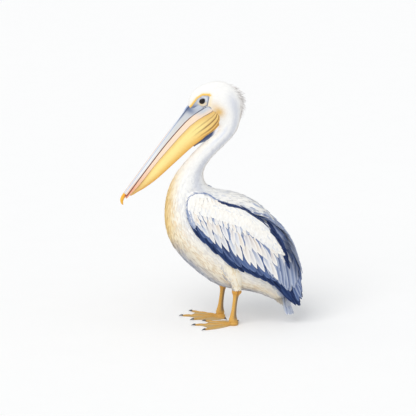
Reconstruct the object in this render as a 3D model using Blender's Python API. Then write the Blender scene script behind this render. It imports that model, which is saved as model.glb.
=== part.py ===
"""Great white pelican, standing at rest with its bill lowered: a still, life-size model.

The bird faces -X, its left side is -Y and +Z is up. The floor is at z = 0 and the origin is on it,
under the middle of the bounding box. Lengths are metres; the tables are in millimetres, times MM.
The flesh is one loft of rings from the face to the rump, parted into head, neck and trunk by
narrow cuts. What lies against it is cut back by a copy of it grown by the gap.
"""

import math

import bmesh
import bpy
import numpy as np
from mathutils.bvhtree import BVHTree

MM = 0.001
GAP = 0.4 * MM  # clear space between two neighbouring solids

# ---- the body loft -------------------------------------------------------------------------------
# Each ring stands on a line from the back outline to the front or belly outline, in the plane y = 0.
# name: back x, back z, belly x, belly z, half width, percent wider below than above
STATIONS = {
    "brow": (-93, 874, -68, 826, 25, 12),
    "forehead": (-74, 918, -39, 808, 31, 18),
    "eyes": (-27, 948, -12, 796, 37, 12),
    "crown": (27, 958, 8, 790, 41, 5),
    "hindcrown": (78, 938, 19, 788, 41, 0),
    "nape": (107, 890, 25, 785, 39, 0),
    "throat": (112, 828, 27, 780, 36.5, 0),
    "neck_top": (96, 766, 21, 766, 35, 0),
    "neck_upper": (57, 717, -4, 743, 34.5, 0),
    "neck_middle": (0, 659, -53, 697, 36.5, 0),
    "neck_lower": (-32, 605, -111, 633, 44, 0),
    "neck_base": (-27, 561, -154, 571, 58, 0),
    "shoulders": (8, 533, -180, 489, 84, 0),
    "breast": (82, 520, -181, 384, 105, 0),
    "mantle": (158, 488, -140, 288, 113, 0),
    "back": (220, 438, -62, 208, 108, 0),
    "loin": (262, 376, 27, 148, 95, 0),
    "rump": (290, 304, 121, 128, 76, 0),
    "tail_root": (305, 226, 200, 108, 54, 0),
    "tail_coverts": (309, 152, 266, 76, 32, 0),
}
NAMES = list(STATIONS)
FACE_POLE = (-90, 846)  # the loft closes to a point here, inside the root of the bill
FULLNESS = 0.92  # the power of the rings' sine: 1 is an ellipse, less is squarer
RING_POINTS = 26
CUTS = {
    "head": ("brow", "throat"),
    "neck_upper": ("throat", "neck_upper"),
    "neck_middle": ("neck_upper", "neck_lower"),
    "neck_lower": ("neck_lower", "shoulders"),
    "trunk": ("shoulders", "tail_coverts"),
}
RINGS_PER_STATION = {"head": 2, "neck_upper": 2, "neck_middle": 2, "neck_lower": 2, "trunk": 2}

COLOURS = {
    "plumage_white": ((0.86, 0.84, 0.79), 0.75),
    "flight_feather": ((0.07, 0.10, 0.18), 0.6),
    "bill_horn": ((0.62, 0.60, 0.60), 0.35),
    "bill_nail": ((0.85, 0.47, 0.10), 0.35),
    "pouch_skin": ((0.86, 0.60, 0.16), 0.45),
    "leg_skin": ((0.80, 0.50, 0.13), 0.5),
    "claw_horn": ((0.05, 0.05, 0.07), 0.35),
    "eye_ball": ((0.03, 0.02, 0.015), 0.08),
}


def spline(values):
    """A natural cubic spline through rows of values at 0, 1, 2 ...: a function of the place."""
    rows = np.asarray(values, float)
    if rows.ndim == 1:
        rows = rows[:, None]
    count = len(rows)
    system = np.eye(count)
    bend = np.zeros_like(rows)
    for i in range(1, count - 1):
        system[i, i - 1 : i + 2] = (1, 4, 1)
        bend[i] = 6 * (rows[i + 1] - 2 * rows[i] + rows[i - 1])
    second = np.linalg.solve(system, bend)

    def at(place):
        place = np.atleast_1d(np.asarray(place, float))
        low = np.clip(np.floor(place).astype(int), 0, count - 2)
        b = (place - low)[:, None]
        a = 1 - b
        curved = (a**3 - a) * second[low] + (b**3 - b) * second[low + 1]
        return a * rows[low] + b * rows[low + 1] + curved / 6

    return at


def knots(table):
    """A spline through (place, value) pairs that need not be evenly spaced: a function of the place."""
    places, values = np.array(table, float).T
    index = spline(values)

    def at(place):
        return index(np.interp(place, places, np.arange(len(places))))[:, 0]

    return at


BODY = spline(list(STATIONS.values()))


def ring_frame(s):
    """For loft places s: ring centres, half depth vectors to the back, half widths, widening below."""
    back_x, back_z, belly_x, belly_z, half = (BODY(s)[:, :5] * MM).T
    zero = np.zeros_like(back_x)
    back = np.stack([back_x, zero, back_z], 1)
    belly = np.stack([belly_x, zero, belly_z], 1)
    return (back + belly) / 2, (back - belly) / 2, half, BODY(s)[:, 5] / 100


def body_rings(s, angles, grow=0.0):
    """Rings of the body at places s: angle 0 is the back, 90 degrees the left side, 180 the belly."""
    centre, depth, half, low = ring_frame(s)
    size = np.linalg.norm(depth, axis=1, keepdims=True)
    depth = depth * (1 + grow / size)
    across = np.sign(np.sin(angles)) * np.abs(np.sin(angles)) ** FULLNESS
    rings = centre[:, None] + depth[:, None] * np.cos(angles)[None, :, None]
    width = half[:, None] * (1 - low[:, None] * np.cos(angles)[None])
    rings[:, :, 1] -= (width + grow) * across[None]
    return rings


def turn(count):
    return np.arange(count) * 2 * math.pi / count


# ---- mesh helpers --------------------------------------------------------------------------------
def clear_scene():
    for old in list(bpy.data.objects):
        bpy.data.objects.remove(old)


def material(name):
    colour, roughness = COLOURS[name]
    made = bpy.data.materials.get(name) or bpy.data.materials.new(name)
    made.use_nodes = True
    shader = made.node_tree.nodes["Principled BSDF"]
    shader.inputs["Base Color"].default_value = (*colour, 1)
    shader.inputs["Roughness"].default_value = roughness
    shader.inputs["Metallic"].default_value = 0
    return made


def add_object(name, points, faces, slot, helper=False):
    """A smooth-shaded mesh object with its faces pointing outwards. A helper stays out of the model."""
    mesh = bpy.data.meshes.new(name)
    mesh.from_pydata([tuple(p) for p in points], [], faces)
    shaping = bmesh.new()
    shaping.from_mesh(mesh)
    bmesh.ops.recalc_face_normals(shaping, faces=shaping.faces)
    shaping.to_mesh(mesh)
    shaping.free()
    mesh.shade_smooth()
    mesh.set_sharp_from_angle(angle=math.radians(50))
    made = bpy.data.objects.new(name, mesh)
    bpy.context.scene.collection.objects.link(made)
    mesh.materials.append(material(slot))
    if helper:
        made.hide_render = True
        made.display_type = "WIRE"
    return made


def loft(name, rings, slot, helper=False):
    """A closed solid through rings of points. An end ring is capped flat, or a single point closes it."""
    points, starts = [], []
    for ring in rings:
        starts.append((len(points), len(ring)))
        points.extend(ring)
    faces = []
    for (a, na), (b, nb) in zip(starts, starts[1:]):
        for k in range(max(na, nb)):
            j = (k + 1) % max(na, nb)
            if na == 1:
                faces.append((a, b + j, b + k))
            elif nb == 1:
                faces.append((a + k, a + j, b))
            else:
                faces.append((a + k, a + j, b + j, b + k))
    for start, count in (starts[0], starts[-1]):
        if count > 1:
            faces.append(tuple(range(start, start + count)))
    return add_object(name, points, faces, slot, helper)


def slab(name, outer, inner, slot, helper=False):
    """A closed sheet between two grids of points with the same rows and columns."""
    rows, columns = outer.shape[:2]
    size = rows * columns
    index = np.arange(size).reshape(rows, columns)
    faces = []
    for i in range(rows - 1):
        for j in range(columns - 1):
            a, b, c, d = index[i, j], index[i, j + 1], index[i + 1, j + 1], index[i + 1, j]
            faces.append((a, b, c, d))
            faces.append((size + d, size + c, size + b, size + a))
    edge = [*index[0, :-1], *index[:-1, -1], *index[-1, :0:-1], *index[:0:-1, 0]]
    for a, b in zip(edge, [*edge[1:], edge[0]]):
        faces.append((b, a, size + a, size + b))
    points = np.concatenate([outer.reshape(-1, 3), inner.reshape(-1, 3)])
    return add_object(name, points, [tuple(int(i) for i in f) for f in faces], slot, helper)


def grid_normals(grid):
    """Unit normals of a grid of points, by the cross product of its two directions."""
    normals = np.cross(np.gradient(grid, axis=0), np.gradient(grid, axis=1))
    return normals / np.linalg.norm(normals, axis=2, keepdims=True)


def cut(target, cutter):
    """Takes the cutter out of the target with a live Boolean."""
    boolean = target.modifiers.new("cut_" + cutter.name, "BOOLEAN")
    boolean.operation = "DIFFERENCE"
    boolean.solver = "EXACT"
    boolean.object = cutter


def tube(name, centres, sizes, slot, sides=12, helper=False):
    """A loft of ellipses along a path in a plane of constant y. sizes: half depth and half width."""
    centres, sizes = np.asarray(centres, float), np.asarray(sizes, float)
    along = np.gradient(centres, axis=0)
    along /= np.linalg.norm(along, axis=1, keepdims=True)
    side = np.array([0.0, 1.0, 0.0])
    front = np.cross(side, along)
    front /= np.linalg.norm(front, axis=1, keepdims=True)
    angles = turn(sides)
    rings = centres[:, None] + front[:, None] * (sizes[:, :1] * np.cos(angles))[..., None]
    rings = rings + side * (sizes[:, 1:] * np.sin(angles))[..., None]
    return loft(name, list(rings), slot, helper)


# ---- head, neck and trunk ------------------------------------------------------------------------
def flesh_rings(first, last, per_station, grow=0.0):
    start, end = NAMES.index(first), NAMES.index(last)
    places = np.linspace(start, end, (end - start) * per_station + 1)
    rings = list(body_rings(places, turn(RING_POINTS), grow))
    if first == "brow":
        rings.insert(0, np.array([[FACE_POLE[0] * MM, 0, FACE_POLE[1] * MM]]))
    return rings


def flesh():
    """Head, three lengths of neck and the trunk, with a narrow gap at each cut."""
    made = {}
    for name, (first, last) in CUTS.items():
        rings = flesh_rings(first, last, RINGS_PER_STATION[name])
        if name != "head":
            depth = ring_frame([NAMES.index(first)])[1][0]
            step = np.cross((0, 1, 0), depth)
            rings[0] = rings[0] + step / np.linalg.norm(step) * GAP
        made[name] = loft(name, rings, "plumage_white")
    return made


def probe(rings):
    """A function giving the half width of a solid, in metres, at points of the side view: x and z."""
    helper = loft("probe", rings, "plumage_white", helper=True)
    tree = BVHTree.FromPolygons(
        [v.co for v in helper.data.vertices], [tuple(f.vertices) for f in helper.data.polygons]
    )
    bpy.data.objects.remove(helper)

    def width(x, z):
        flat = []
        for px, pz in zip(np.ravel(x), np.ravel(z)):
            hit = tree.ray_cast((float(px), -1.0, float(pz)), (0, 1, 0))[0]
            flat.append(-hit[1] if hit else 0.0)
        return np.reshape(flat, np.shape(x))

    return width


# ---- eyes ----------------------------------------------------------------------------------------
EYE_RADIUS = 13.5 * MM
EYE_PLACE = (-37 * MM, 885 * MM)  # x and z
EYE_SINK = 8.3 * MM  # the eyeball's middle lies this deep under the side of the face


def ball(name, centre, radius, slot, helper=False):
    latitudes = np.linspace(0, math.pi, 9)
    rings = []
    for latitude in latitudes:
        r = radius * math.sin(latitude)
        angles = turn(12) if r > 1e-9 else turn(1)
        y = np.full_like(angles, centre[1] + radius * math.cos(latitude))
        rings.append(np.stack([centre[0] + r * np.cos(angles), y, centre[2] + r * np.sin(angles)], 1))
    return loft(name, rings, slot, helper)


def eyes(head, head_width):
    depth = float(head_width(*EYE_PLACE)) - EYE_SINK
    for side, name in ((-1, "left"), (1, "right")):
        centre = (EYE_PLACE[0], side * depth, EYE_PLACE[1])
        ball("eye_" + name, centre, EYE_RADIUS, "eye_ball")
        cut(head, ball("socket_" + name, centre, EYE_RADIUS + GAP, "eye_ball", helper=True))


# ---- the bill ------------------------------------------------------------------------------------
# Bill places are t along the culmen from its root, and q square to it, down towards the pouch.
BILL_ROOT = (-101.8, 853.0)
BILL_WAY = (-0.586, -0.810)
BILL_LENGTH = 455  # culmen from root to hook tip
# t, seam q, lower edge of the mandible q, lower edge of the pouch q, half width, pouch half width
BILL = [
    (-62, 59, 92, 112, 39, 37),
    (-45, 53.5, 85, 132, 37.5, 37),
    (-24, 46, 75.5, 140, 34.5, 36),
    (5, 37, 64, 139.5, 31, 34),
    (43, 29.5, 53.5, 129, 28, 32),
    (102, 24, 45.5, 111.5, 24.5, 28),
    (171, 20, 39.5, 98, 22, 25),
    (235, 18.5, 34.5, 85.5, 21, 22),
    (299, 17.5, 32.5, 72, 20.5, 18),
    (355, 17, 30, 54, 20, 13),
    (395, 17, 26, 37, 17.5, 8),
    (412, 17.2, 24, 29, 14.5, 4),
    (430, 17.5, 22, 24, 9, 2),
]
BILL_T = [row[0] for row in BILL]
SEAM, RAMUS_EDGE, POUCH_EDGE, BILL_HALF, POUCH_HALF = (
    knots([(row[0], row[k]) for row in BILL]) for k in range(1, 6)
)
RAMUS_WALL = 7.0
SEAM_GAP = 0.4


def bill_points(t, y, q):
    """Points of the bill in metres from places in millimetres."""
    t, y, q = np.broadcast_arrays(np.asarray(t, float), y, q)
    x = BILL_ROOT[0] + BILL_WAY[0] * t - BILL_WAY[1] * q
    z = BILL_ROOT[1] + BILL_WAY[1] * t + BILL_WAY[0] * q
    return np.stack([x, y, z], -1) * MM


def mirrored(half):
    """A whole ring from its left half, listed from the top middle to the bottom middle."""
    half = np.asarray(half, float)
    other = half[-2:0:-1] * (-1, 1)
    return np.concatenate([half, other])


def upper_bill(head_cutter):
    """Flat plates either side of a rounded ridge, with a groove between."""
    rings = []
    for t in [-45, -20, 5, 30, 60, 110, 180, 260, 340, 390, 412]:
        w = float(BILL_HALF(t)[0])
        s = float(SEAM(t)[0])
        lip = s - SEAM_GAP
        g = min(9.5, 0.62 * w)
        half = [(0, 0), (0.5 * g, 0.8), (0.85 * g, 3.0), (g, 4.2), (0.5 * (g + w), 0.28 * s + 1.5)]
        half += [(w - 1, lip - 5.5), (w, lip - 1.5), (w - 1.5, lip), (0, lip - 3)]
        ring = mirrored([(-y, q) for y, q in half])
        rings.append(bill_points(t, ring[:, 0], ring[:, 1]))
    cut(loft("upper_bill", rings, "bill_horn"), head_cutter)


def nail():
    """The hooked nail at the tip of the upper bill."""
    table = [
        (412.4, 8.4, 8.2, 14),
        (422, 8.0, 7.9, 12.6),
        (432, 8.4, 7.4, 10.8),
        (441, 11, 6.6, 8.6),
        (448, 16, 5.2, 6.2),
        (452.5, 22, 3.3, 3.8),
        (454, 26.5, 1.0, 1.2),
    ]
    middle = np.array([(t, q) for t, q, _, _ in table])
    along = np.gradient(middle, axis=0)
    along /= np.linalg.norm(along, axis=1, keepdims=True)
    along[0] = (1, 0)
    rings = []
    for (t, q, deep, wide), (a, b) in zip(table, along):
        angles = turn(10)
        off = deep * np.cos(angles)
        rings.append(bill_points(t - b * off, wide * np.sin(angles), q + a * off))
    loft("bill_nail", rings, "bill_nail")


def lower_bill(head_width, grow=0.0, helper=False):
    """The two rami of the lower bill, one bow from the left jaw round the tip to the right jaw."""
    reach = np.array([-60, -45, -30, -12, 12, 43, 90, 150, 235, 310, 365, 412], float)
    outer = BILL_HALF(reach)
    for k in range(5):
        middle = bill_points(reach[k], 0, (SEAM(reach[k])[0] + RAMUS_EDGE(reach[k])[0]) / 2)
        outer[k] = max(outer[k], head_width(middle[0], middle[2]) / MM + 1.0)
    lane = outer - RAMUS_WALL / 2
    path = [(t - grow * (k == 0), -y) for k, (t, y) in enumerate(zip(reach, lane))]
    for angle in np.linspace(0, math.pi, 7)[1:-1]:
        path.append((412 + lane[-1] * math.sin(angle), -lane[-1] * math.cos(angle)))
    path += [(t, -y) for t, y in path[: len(reach)][::-1]]
    path = np.array(path)
    way = np.gradient(path, axis=0)
    way /= np.linalg.norm(way, axis=1, keepdims=True)
    rings = []
    for (t, y), (a, b) in zip(path, way):
        top = float(SEAM(t)[0]) + SEAM_GAP - grow
        low = float(RAMUS_EDGE(t)[0]) + grow
        wall = RAMUS_WALL / 2 + grow
        shape = [(-0.7, top), (0.7, top), (1, top + 1.5), (1, low - 2), (0.55, low), (-0.55, low)]
        shape += [(-1, low - 2), (-1, top + 1.5)]
        across = np.array([c for c, _ in shape]) * wall
        rings.append(bill_points(t - b * across, y + a * across, [q for _, q in shape]))
    name = "mandible_cutter" if helper else "lower_bill"
    return loft(name, rings, "bill_horn", helper), (reach, outer)


def pouch(head_width, rami, grow=0.0, helper=False):
    """The bag of skin: held between the rami, wider below them, resting against the throat behind."""
    rings = []
    g = grow / MM
    for k, t in enumerate([-58, -50, -40, -26, -8, 14, 43, 80, 130, 200, 270, 330, 375, 406]):
        outer = float(np.interp(t, *rami))
        inner = outer - RAMUS_WALL - 0.6 + g
        top = float(SEAM(t)[0]) + 4 - g
        step = float(RAMUS_EDGE(t)[0]) + 0.4
        low = float(POUCH_EDGE(t)[0]) + g
        bulge = min(float(POUCH_HALF(t)[0]), outer - 0.5) + g
        levels = np.linspace(step + 0.4, low, 6)
        turned = np.linspace(0, 1, 6)
        free = bulge * np.sqrt(1 - np.clip(turned, 0, 1) ** 2.6)
        places = bill_points(t, 0, levels)
        against = head_width(places[:, 0], places[:, 2]) / MM
        against = np.where(against > 0, against + 1.8 + g, 0)
        below = np.maximum(free, against)
        below[0] = max(below[0], min(outer - 0.5 + g, below[1] + 1))
        shift = g * (-1 if k == 0 else 1 if t == 406 else 0)
        half = [(0, top), (0.7 * inner, top), (inner, top + 1), (inner, step)]
        half += list(zip(below, levels))
        if below[-1] > 0.01:
            half.append((0, low))
        else:
            half[-2] = (half[-2][0], half[-2][1])
            half.append((0, low))
            half[-2] = (0.45 * half[-3][0], low - 0.06 * (low - step))
        ring = mirrored([(-y, q) for y, q in half])
        rings.append(bill_points(t + shift, ring[:, 0], ring[:, 1]))
    return loft("pouch_cutter" if helper else "pouch", rings, "pouch_skin", helper)


# ---- nape crest ----------------------------------------------------------------------------------
CREST_ROOT = [(50, 944), (74, 932), (89, 916), (98, 900), (102, 884), (104, 866), (105, 845), (104, 826)]
CREST_TIPS = [(112, 936), (127, 918), (136, 900), (141, 882), (143, 863), (138, 846), (129, 829)]


def crest(cutter):
    """A ridge of loose plumes down the back of the head, each ending in a point."""
    root = spline(CREST_ROOT)
    count = len(CREST_TIPS)
    places = np.linspace(0, count, 2 * count + 1)
    inner = root(places)
    outer = inner.copy()
    outer[1::2] = CREST_TIPS
    outer[2:-1:2] = 0.42 * (outer[1:-2:2] + outer[3::2]) / 2 + 0.58 * inner[2:-1:2]
    outer[0] = inner[0] + (14, 5)
    outer[-1] = inner[-1] + (8, -5)
    rows = []
    for part, thick in ((0, 11.0), (0.5, 7.0), (1, 1.0)):
        line = inner * (1 - part) + outer * part
        rows.append(np.column_stack([line[:, 0], np.full(len(line), thick), line[:, 1]]))
    grid = np.array(rows) * MM
    cut(slab("crest", grid * (1, -1, 1), grid, "plumage_white"), cutter)


# ---- wings ---------------------------------------------------------------------------------------
WING_AXIS = ((-85, 480), (350, 85))
WING_APART = 20.0  # no part of a wing face comes nearer the middle plane
WING_REST = 14.5  # the folded wing's face lies this far outside the trunk
WING_HALF = [(-60, 90), (0, 100), (150, 112), (300, 108), (420, 98), (520, 88), (600, 76)]
# Each edge is a table of x and z in the side view, from the front to the tip.
COVERT_TOP = [(-72, 521), (-24, 531), (50, 505), (129, 464), (196, 412), (242, 367), (276, 322), (297, 270)]
COVERT_TOP += [(308, 218), (312, 172), (311, 148)]
COVERT_LOW = [(-84, 430), (-58, 412), (-6, 350), (50, 310), (104, 270), (150, 246), (193, 218), (232, 196)]
COVERT_LOW += [(264, 172), (290, 152), (306, 140)]
QUILL_TOP = [(-66, 452), (-40, 415), (10, 370), (66, 330), (124, 290), (180, 262), (232, 226), (276, 190)]
QUILL_TOP += [(312, 150), (338, 112), (346, 92)]
QUILL_LOW = [(-86, 421), (-56, 384), (-8, 336), (45, 288), (95, 246), (140, 216), (188, 190), (232, 160)]
QUILL_LOW += [(268, 127), (300, 97), (334, 78)]
TIP_TOP = [(171, 452), (209, 443), (245, 420), (278, 386), (304, 348), (325, 305), (336, 261), (345, 217)]
TIP_TOP += [(352, 172), (356, 126), (356, 98)]
TIP_LOW = [(165, 420), (190, 385), (212, 345), (232, 305), (252, 268), (270, 235), (286, 204), (300, 172)]
TIP_LOW += [(316, 140), (330, 108), (345, 80)]


def wing_face(x, z, grown_width):
    """How far the face of the folded wing stands from the middle plane, in metres."""
    (x0, z0), (x1, z1) = WING_AXIS
    length = math.hypot(x1 - x0, z1 - z0)
    way = ((x1 - x0) / length, (z1 - z0) / length)
    along = (x / MM - x0) * way[0] + (z / MM - z0) * way[1]
    across = (x / MM - x0) * -way[1] + (z / MM - z0) * way[0]
    free = knots(WING_HALF)(along.ravel()).reshape(along.shape) - 42 * ((across + 25) / 105) ** 2
    rest = grown_width(x, z) / MM
    return np.maximum((free + rest + np.sqrt((free - rest) ** 2 + 64)) / 2, WING_APART) * MM


def wing_leaf(name, side, top, low, layer, thick, slot, teeth, grown_width, columns=19, rows=6):
    """One sheet of the folded wing, from its top edge to its low edge, with feather tips as teeth."""
    u = np.linspace(0, 1, columns)
    top_line = spline(top)(u * (len(top) - 1))
    low_line = spline(low)(u * (len(low) - 1))
    depth, first = teeth
    index = np.arange(columns)
    saw = (index % 2) * (index >= first) * np.clip((columns - 1 - index) / 5, 0, 1)
    low_line = low_line + saw[:, None] * depth * np.array((0.35, -0.94))
    v = np.linspace(0, 1, rows)[:, None, None]
    flat = (top_line * (1 - v) + low_line * v) * MM
    bow = np.exp(-((u / 0.07) ** 2)) * 4 * v[:, :, 0] * (1 - v[:, :, 0])
    x = flat[..., 0] - 15 * MM * bow
    z = flat[..., 1]
    face = np.stack([x, side * wing_face(x, z, grown_width), z], -1)
    normals = grid_normals(face)
    normals *= np.sign(normals[..., 1:2]) * side
    upper = np.clip(v[:, :, 0] / 0.66, 0, 1)
    rim = np.sqrt(4 * upper * (1 - upper))
    arm = np.clip(1 - u / 0.55, 0, 1) ** 0.5 * thick[1] * rim
    outer = face - normals * layer * MM
    inner = outer - normals * (thick[0] + arm)[..., None] * MM
    return slab(name, outer, inner, slot)


def wings(width, trunk_cutter):
    for side, name in ((-1, "wing_left_"), (1, "wing_right_")):
        coverts = wing_leaf(name + "coverts", side, COVERT_TOP, COVERT_LOW, 0, (4, 6.5), "plumage_white", (16, 3), width)
        quills = wing_leaf(name + "secondaries", side, QUILL_TOP, QUILL_LOW, 5.8, (2.8, 0), "flight_feather", (7, 5), width, 17, 4)
        tips = wing_leaf(name + "primaries", side, TIP_TOP, TIP_LOW, 9.2, (2.4, 0), "flight_feather", (0, 0), width, 13, 5)
        for leaf in (coverts, quills, tips):
            cut(leaf, trunk_cutter)


# ---- tail ----------------------------------------------------------------------------------------
TAIL_ROOT = (290.5, 112)
TAIL_TIP = (322, 38)
TAIL_HALF = (28, 66)  # half width at the root and at the tip
TAIL_THICK = (26, 2.2)  # half thickness at the root and at the tip


def tail():
    """A short fan with its middle feathers longest, arched a little downwards at the sides."""
    rump = flesh_rings("loin", "tail_coverts", 2, GAP)
    back = ring_frame([NAMES.index("tail_coverts")])[1][0]
    away = np.cross((0, 1, 0), back)
    rump[-1] = rump[-1] + away / np.linalg.norm(away) * GAP
    cutter = loft("rump_cutter", rump, "plumage_white", helper=True)
    root, tip = np.array(TAIL_ROOT, float), np.array(TAIL_TIP, float)
    way = (tip - root) / np.linalg.norm(tip - root)
    up = np.array([-way[1], way[0]])
    columns, rows = 17, 4
    c = np.linspace(-1, 1, columns)
    upper, lower = [], []
    for part in np.linspace(0, 1, rows):
        half = TAIL_HALF[0] + (TAIL_HALF[1] - TAIL_HALF[0]) * part**0.8
        thick = TAIL_THICK[1] + (TAIL_THICK[0] - TAIL_THICK[1]) * (1 - part) ** 1.6
        thick = thick * np.sqrt(1 - 0.97 * c**2) if part < 1 else np.full_like(c, thick) * 0.8
        teeth = np.where(np.arange(columns) % 2 == 1, 0.0, -7.0) * part**3
        reach = part * (1 - 0.22 * c**2) * np.linalg.norm(tip - root) + teeth
        droop = -9 * part * c**2
        for side, line in ((1, upper), (-1, lower)):
            place = root + way * reach[:, None] + up * (droop + side * thick)[:, None]
            line.append(np.column_stack([place[:, 0], half * c, place[:, 1]]))
    cut(slab("tail", np.array(upper) * MM, np.array(lower) * MM, "plumage_white"), cutter)


# ---- legs ----------------------------------------------------------------------------------------
LEG_APART = 59
NEAR_STEP = 0  # the left leg stands where the leg tables say
FAR_STEP = -50  # the right leg is set this much further forward
# x, z, half depth, half width
THIGH = [(56, 268, 58, 40), (70, 232, 54, 38), (82, 200, 44, 33), (90, 174, 31, 26), (96, 155, 21, 19)]
THIGH += [(96, 146.4, 17, 16)]
SHANK = [(96, 146, 14, 12.5), (96, 140, 16, 14), (96, 131, 16, 13.5), (94, 121, 12.5, 11), (92, 108, 10, 9.5)]
SHANK += [(89, 84, 9.3, 8.8), (86, 58, 10, 9.3), (84, 40, 12, 10.5), (83, 28, 15, 13), (83, 20.4, 18, 16)]
TOES = {  # angle out from straight ahead in degrees, reach to the toe's end, half width, height
    "outer": (30, 134, 7.0, 9.0),
    "middle": (0, 150, 7.5, 9.5),
    "inner": (-27, 118, 7.0, 9.0),
    "hallux": (-118, 44, 6.0, 8.0),
}
FOOT_YAW = {"left": 4.0, "right": 2.0}
MOUND = (20.0, 19.0)  # height and radius of the foot under the shank
WEB = 2.2
CLAW_LENGTH = 14.0


def foot(name, centre, side, yaw):
    """Four webbed toes spread from the ankle, flat below, ridged along each toe above."""
    bearing = {key: math.radians(toe[0] + yaw) for key, toe in TOES.items()}
    ends = {key: math.radians(toe[0]) for key, toe in TOES.items()}
    order = ["outer", "middle", "inner", "hallux"]
    angles, reach = [], []
    for key, following in zip(order, order[1:]):
        a, b = ends[key], ends[following]
        ra, rb = TOES[key][1], TOES[following][1]
        spread = 5.5 / ra
        web = [0, 0.5, 1.0]
        angles += [a + spread * 1.0, a + spread * 0.55, a, a - spread * 0.55, a - spread]
        reach += [ra - 9, ra - 2, ra, ra - 2, ra - 9]
        depth = 0.17 if following != "hallux" else 0.2
        for part in (0.2, 0.4, 0.6, 0.8):
            angles.append(a + (b - a) * part)
            dip = 1 - depth * (4 * part * (1 - part)) ** 0.6
            reach.append((ra * (1 - part) + rb * part - 8) * dip)
    a, ra = ends["hallux"], TOES["hallux"][1]
    for off, less in ((0.16, 5), (0.08, 1), (0, 0), (-0.08, 1), (-0.16, 5), (-0.34, 14)):
        angles.append(a + off)
        reach.append(ra - less)
    for angle in np.linspace(a - 0.8, ends["outer"] + 0.35 - 2 * math.pi, 6):
        angles.append(angle)
        reach.append(19.0)
    angles, reach = np.array(angles), np.array(reach)
    top, flat = [], []
    for part in (0.0, 0.1, 0.22, 0.4, 0.6, 0.82, 1.0):
        r = np.maximum(reach * part, 11 + 7 * (part - 0.1))
        height = np.full_like(r, WEB)
        for key, (_, length, half, tall) in TOES.items():
            off = (angles - ends[key] + math.pi) % (2 * math.pi) - math.pi
            far = r * np.abs(np.sin(np.clip(off, -1.5, 1.5)))
            ridge = tall * (1 - 0.35 * np.clip(r / length, 0, 1) ** 2)
            shape = np.clip(1 - (far / half) ** 2, 0, 1) * (np.abs(off) < 1.4)
            height = np.maximum(height, WEB + (ridge - WEB) * shape)
        height = np.maximum(height, MOUND[0] * np.clip(1.35 - (r / MOUND[1]) ** 2 * 0.35, 0, 1) ** 1.5)
        height = np.where(r <= MOUND[1], np.minimum(height, MOUND[0]), height)
        forward = r * np.cos(angles)
        outward = r * np.sin(angles)
        turned = math.radians(yaw)
        x = centre[0] - (forward * math.cos(turned) - outward * math.sin(turned))
        y = centre[1] + side * (forward * math.sin(turned) + outward * math.cos(turned))
        lift = height if part < 1 else height * 0.62
        top.append(np.column_stack([x, y, lift]))
        flat.append(np.column_stack([x, y, np.zeros_like(x)]))
    rings = [np.array([[centre[0], centre[1], MOUND[0]]])] + top[1:] + [flat[-1]]
    made = loft(name, [ring * MM for ring in rings], "leg_skin")
    tips = {}
    for key, (_, length, _, tall) in TOES.items():
        tips[key] = (bearing[key], length, tall)
    return made, tips


def claws(name, centre, side, tips):
    """A small curved claw past the end of each toe."""
    for key, (angle, length, tall) in tips.items():
        rings = []
        for part in np.linspace(0, 1, 4):
            reach = length + 0.9 + CLAW_LENGTH * part
            thick = 3.6 * (1 - part) ** 0.7 + 0.25
            height = 0.5 + thick + 1.6 * 4 * part * (1 - part)
            turned = turn(7)
            side_off = thick * 0.8 * np.cos(turned)
            x = centre[0] - reach * math.cos(angle) + side_off * math.sin(angle)
            y = centre[1] + side * (reach * math.sin(angle) + side_off * math.cos(angle))
            rings.append(np.column_stack([x, y, height + thick * np.sin(turned)]) * MM)
        loft(f"claw_{name}_{key}", rings, "claw_horn")


def legs(trunk_cutter):
    for side, name, step in ((-1, "left", NEAR_STEP), (1, "right", FAR_STEP)):
        y = side * LEG_APART
        centres = [((x + step) * MM, y * MM, z * MM) for x, z, _, _ in THIGH]
        thigh = tube("thigh_" + name, centres, [(d * MM, w * MM) for _, _, d, w in THIGH], "plumage_white", 12)
        cut(thigh, trunk_cutter)
        centres = [((x + step) * MM, y * MM, z * MM) for x, z, _, _ in SHANK]
        tube("shank_" + name, centres, [(d * MM, w * MM) for _, _, d, w in SHANK], "leg_skin", 12)
        centre = (SHANK[-1][0] + step, y)
        _, tips = foot("foot_" + name, centre, side, FOOT_YAW[name])
        claws(name, centre, side, tips)


def main():
    clear_scene()
    made = flesh()
    head_width = probe(flesh_rings("brow", "neck_middle", 3))
    grown_width = probe(flesh_rings("neck_lower", "tail_coverts", 4, WING_REST * MM))
    head_cutter = loft("head_cutter", flesh_rings("brow", "neck_upper", 2, GAP), "plumage_white", helper=True)
    trunk_cutter = loft("trunk_cutter", flesh_rings("neck_base", "tail_coverts", 2, GAP), "plumage_white", helper=True)
    _, rami = lower_bill(head_width)
    mandible_cutter, _ = lower_bill(head_width, GAP / MM, helper=True)
    pouch(head_width, rami)
    pouch_cutter = pouch(head_width, rami, GAP, helper=True)
    for name in ("head", "neck_upper"):
        cut(made[name], pouch_cutter)
    cut(made["head"], mandible_cutter)
    eyes(made["head"], head_width)
    upper_bill(head_cutter)
    nail()
    crest(head_cutter)
    wings(grown_width, trunk_cutter)
    tail()
    legs(trunk_cutter)


main()
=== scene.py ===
# %% [markdown]
# # A great white pelican at rest
# This lesson dresses a still, life-size pelican. The solids come packed as a frame: head, neck, trunk,
# wings, tail, legs and bill, in metres, with the floor at z = 0. The bird faces -X and its left side is -Y.
# The frame fixes every size. What is made here is what the eye sees: one skin, the horn, and some
# sixteen thousand feathers, each a thin closed leaf of mesh laid over the skin.

import math

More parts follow.
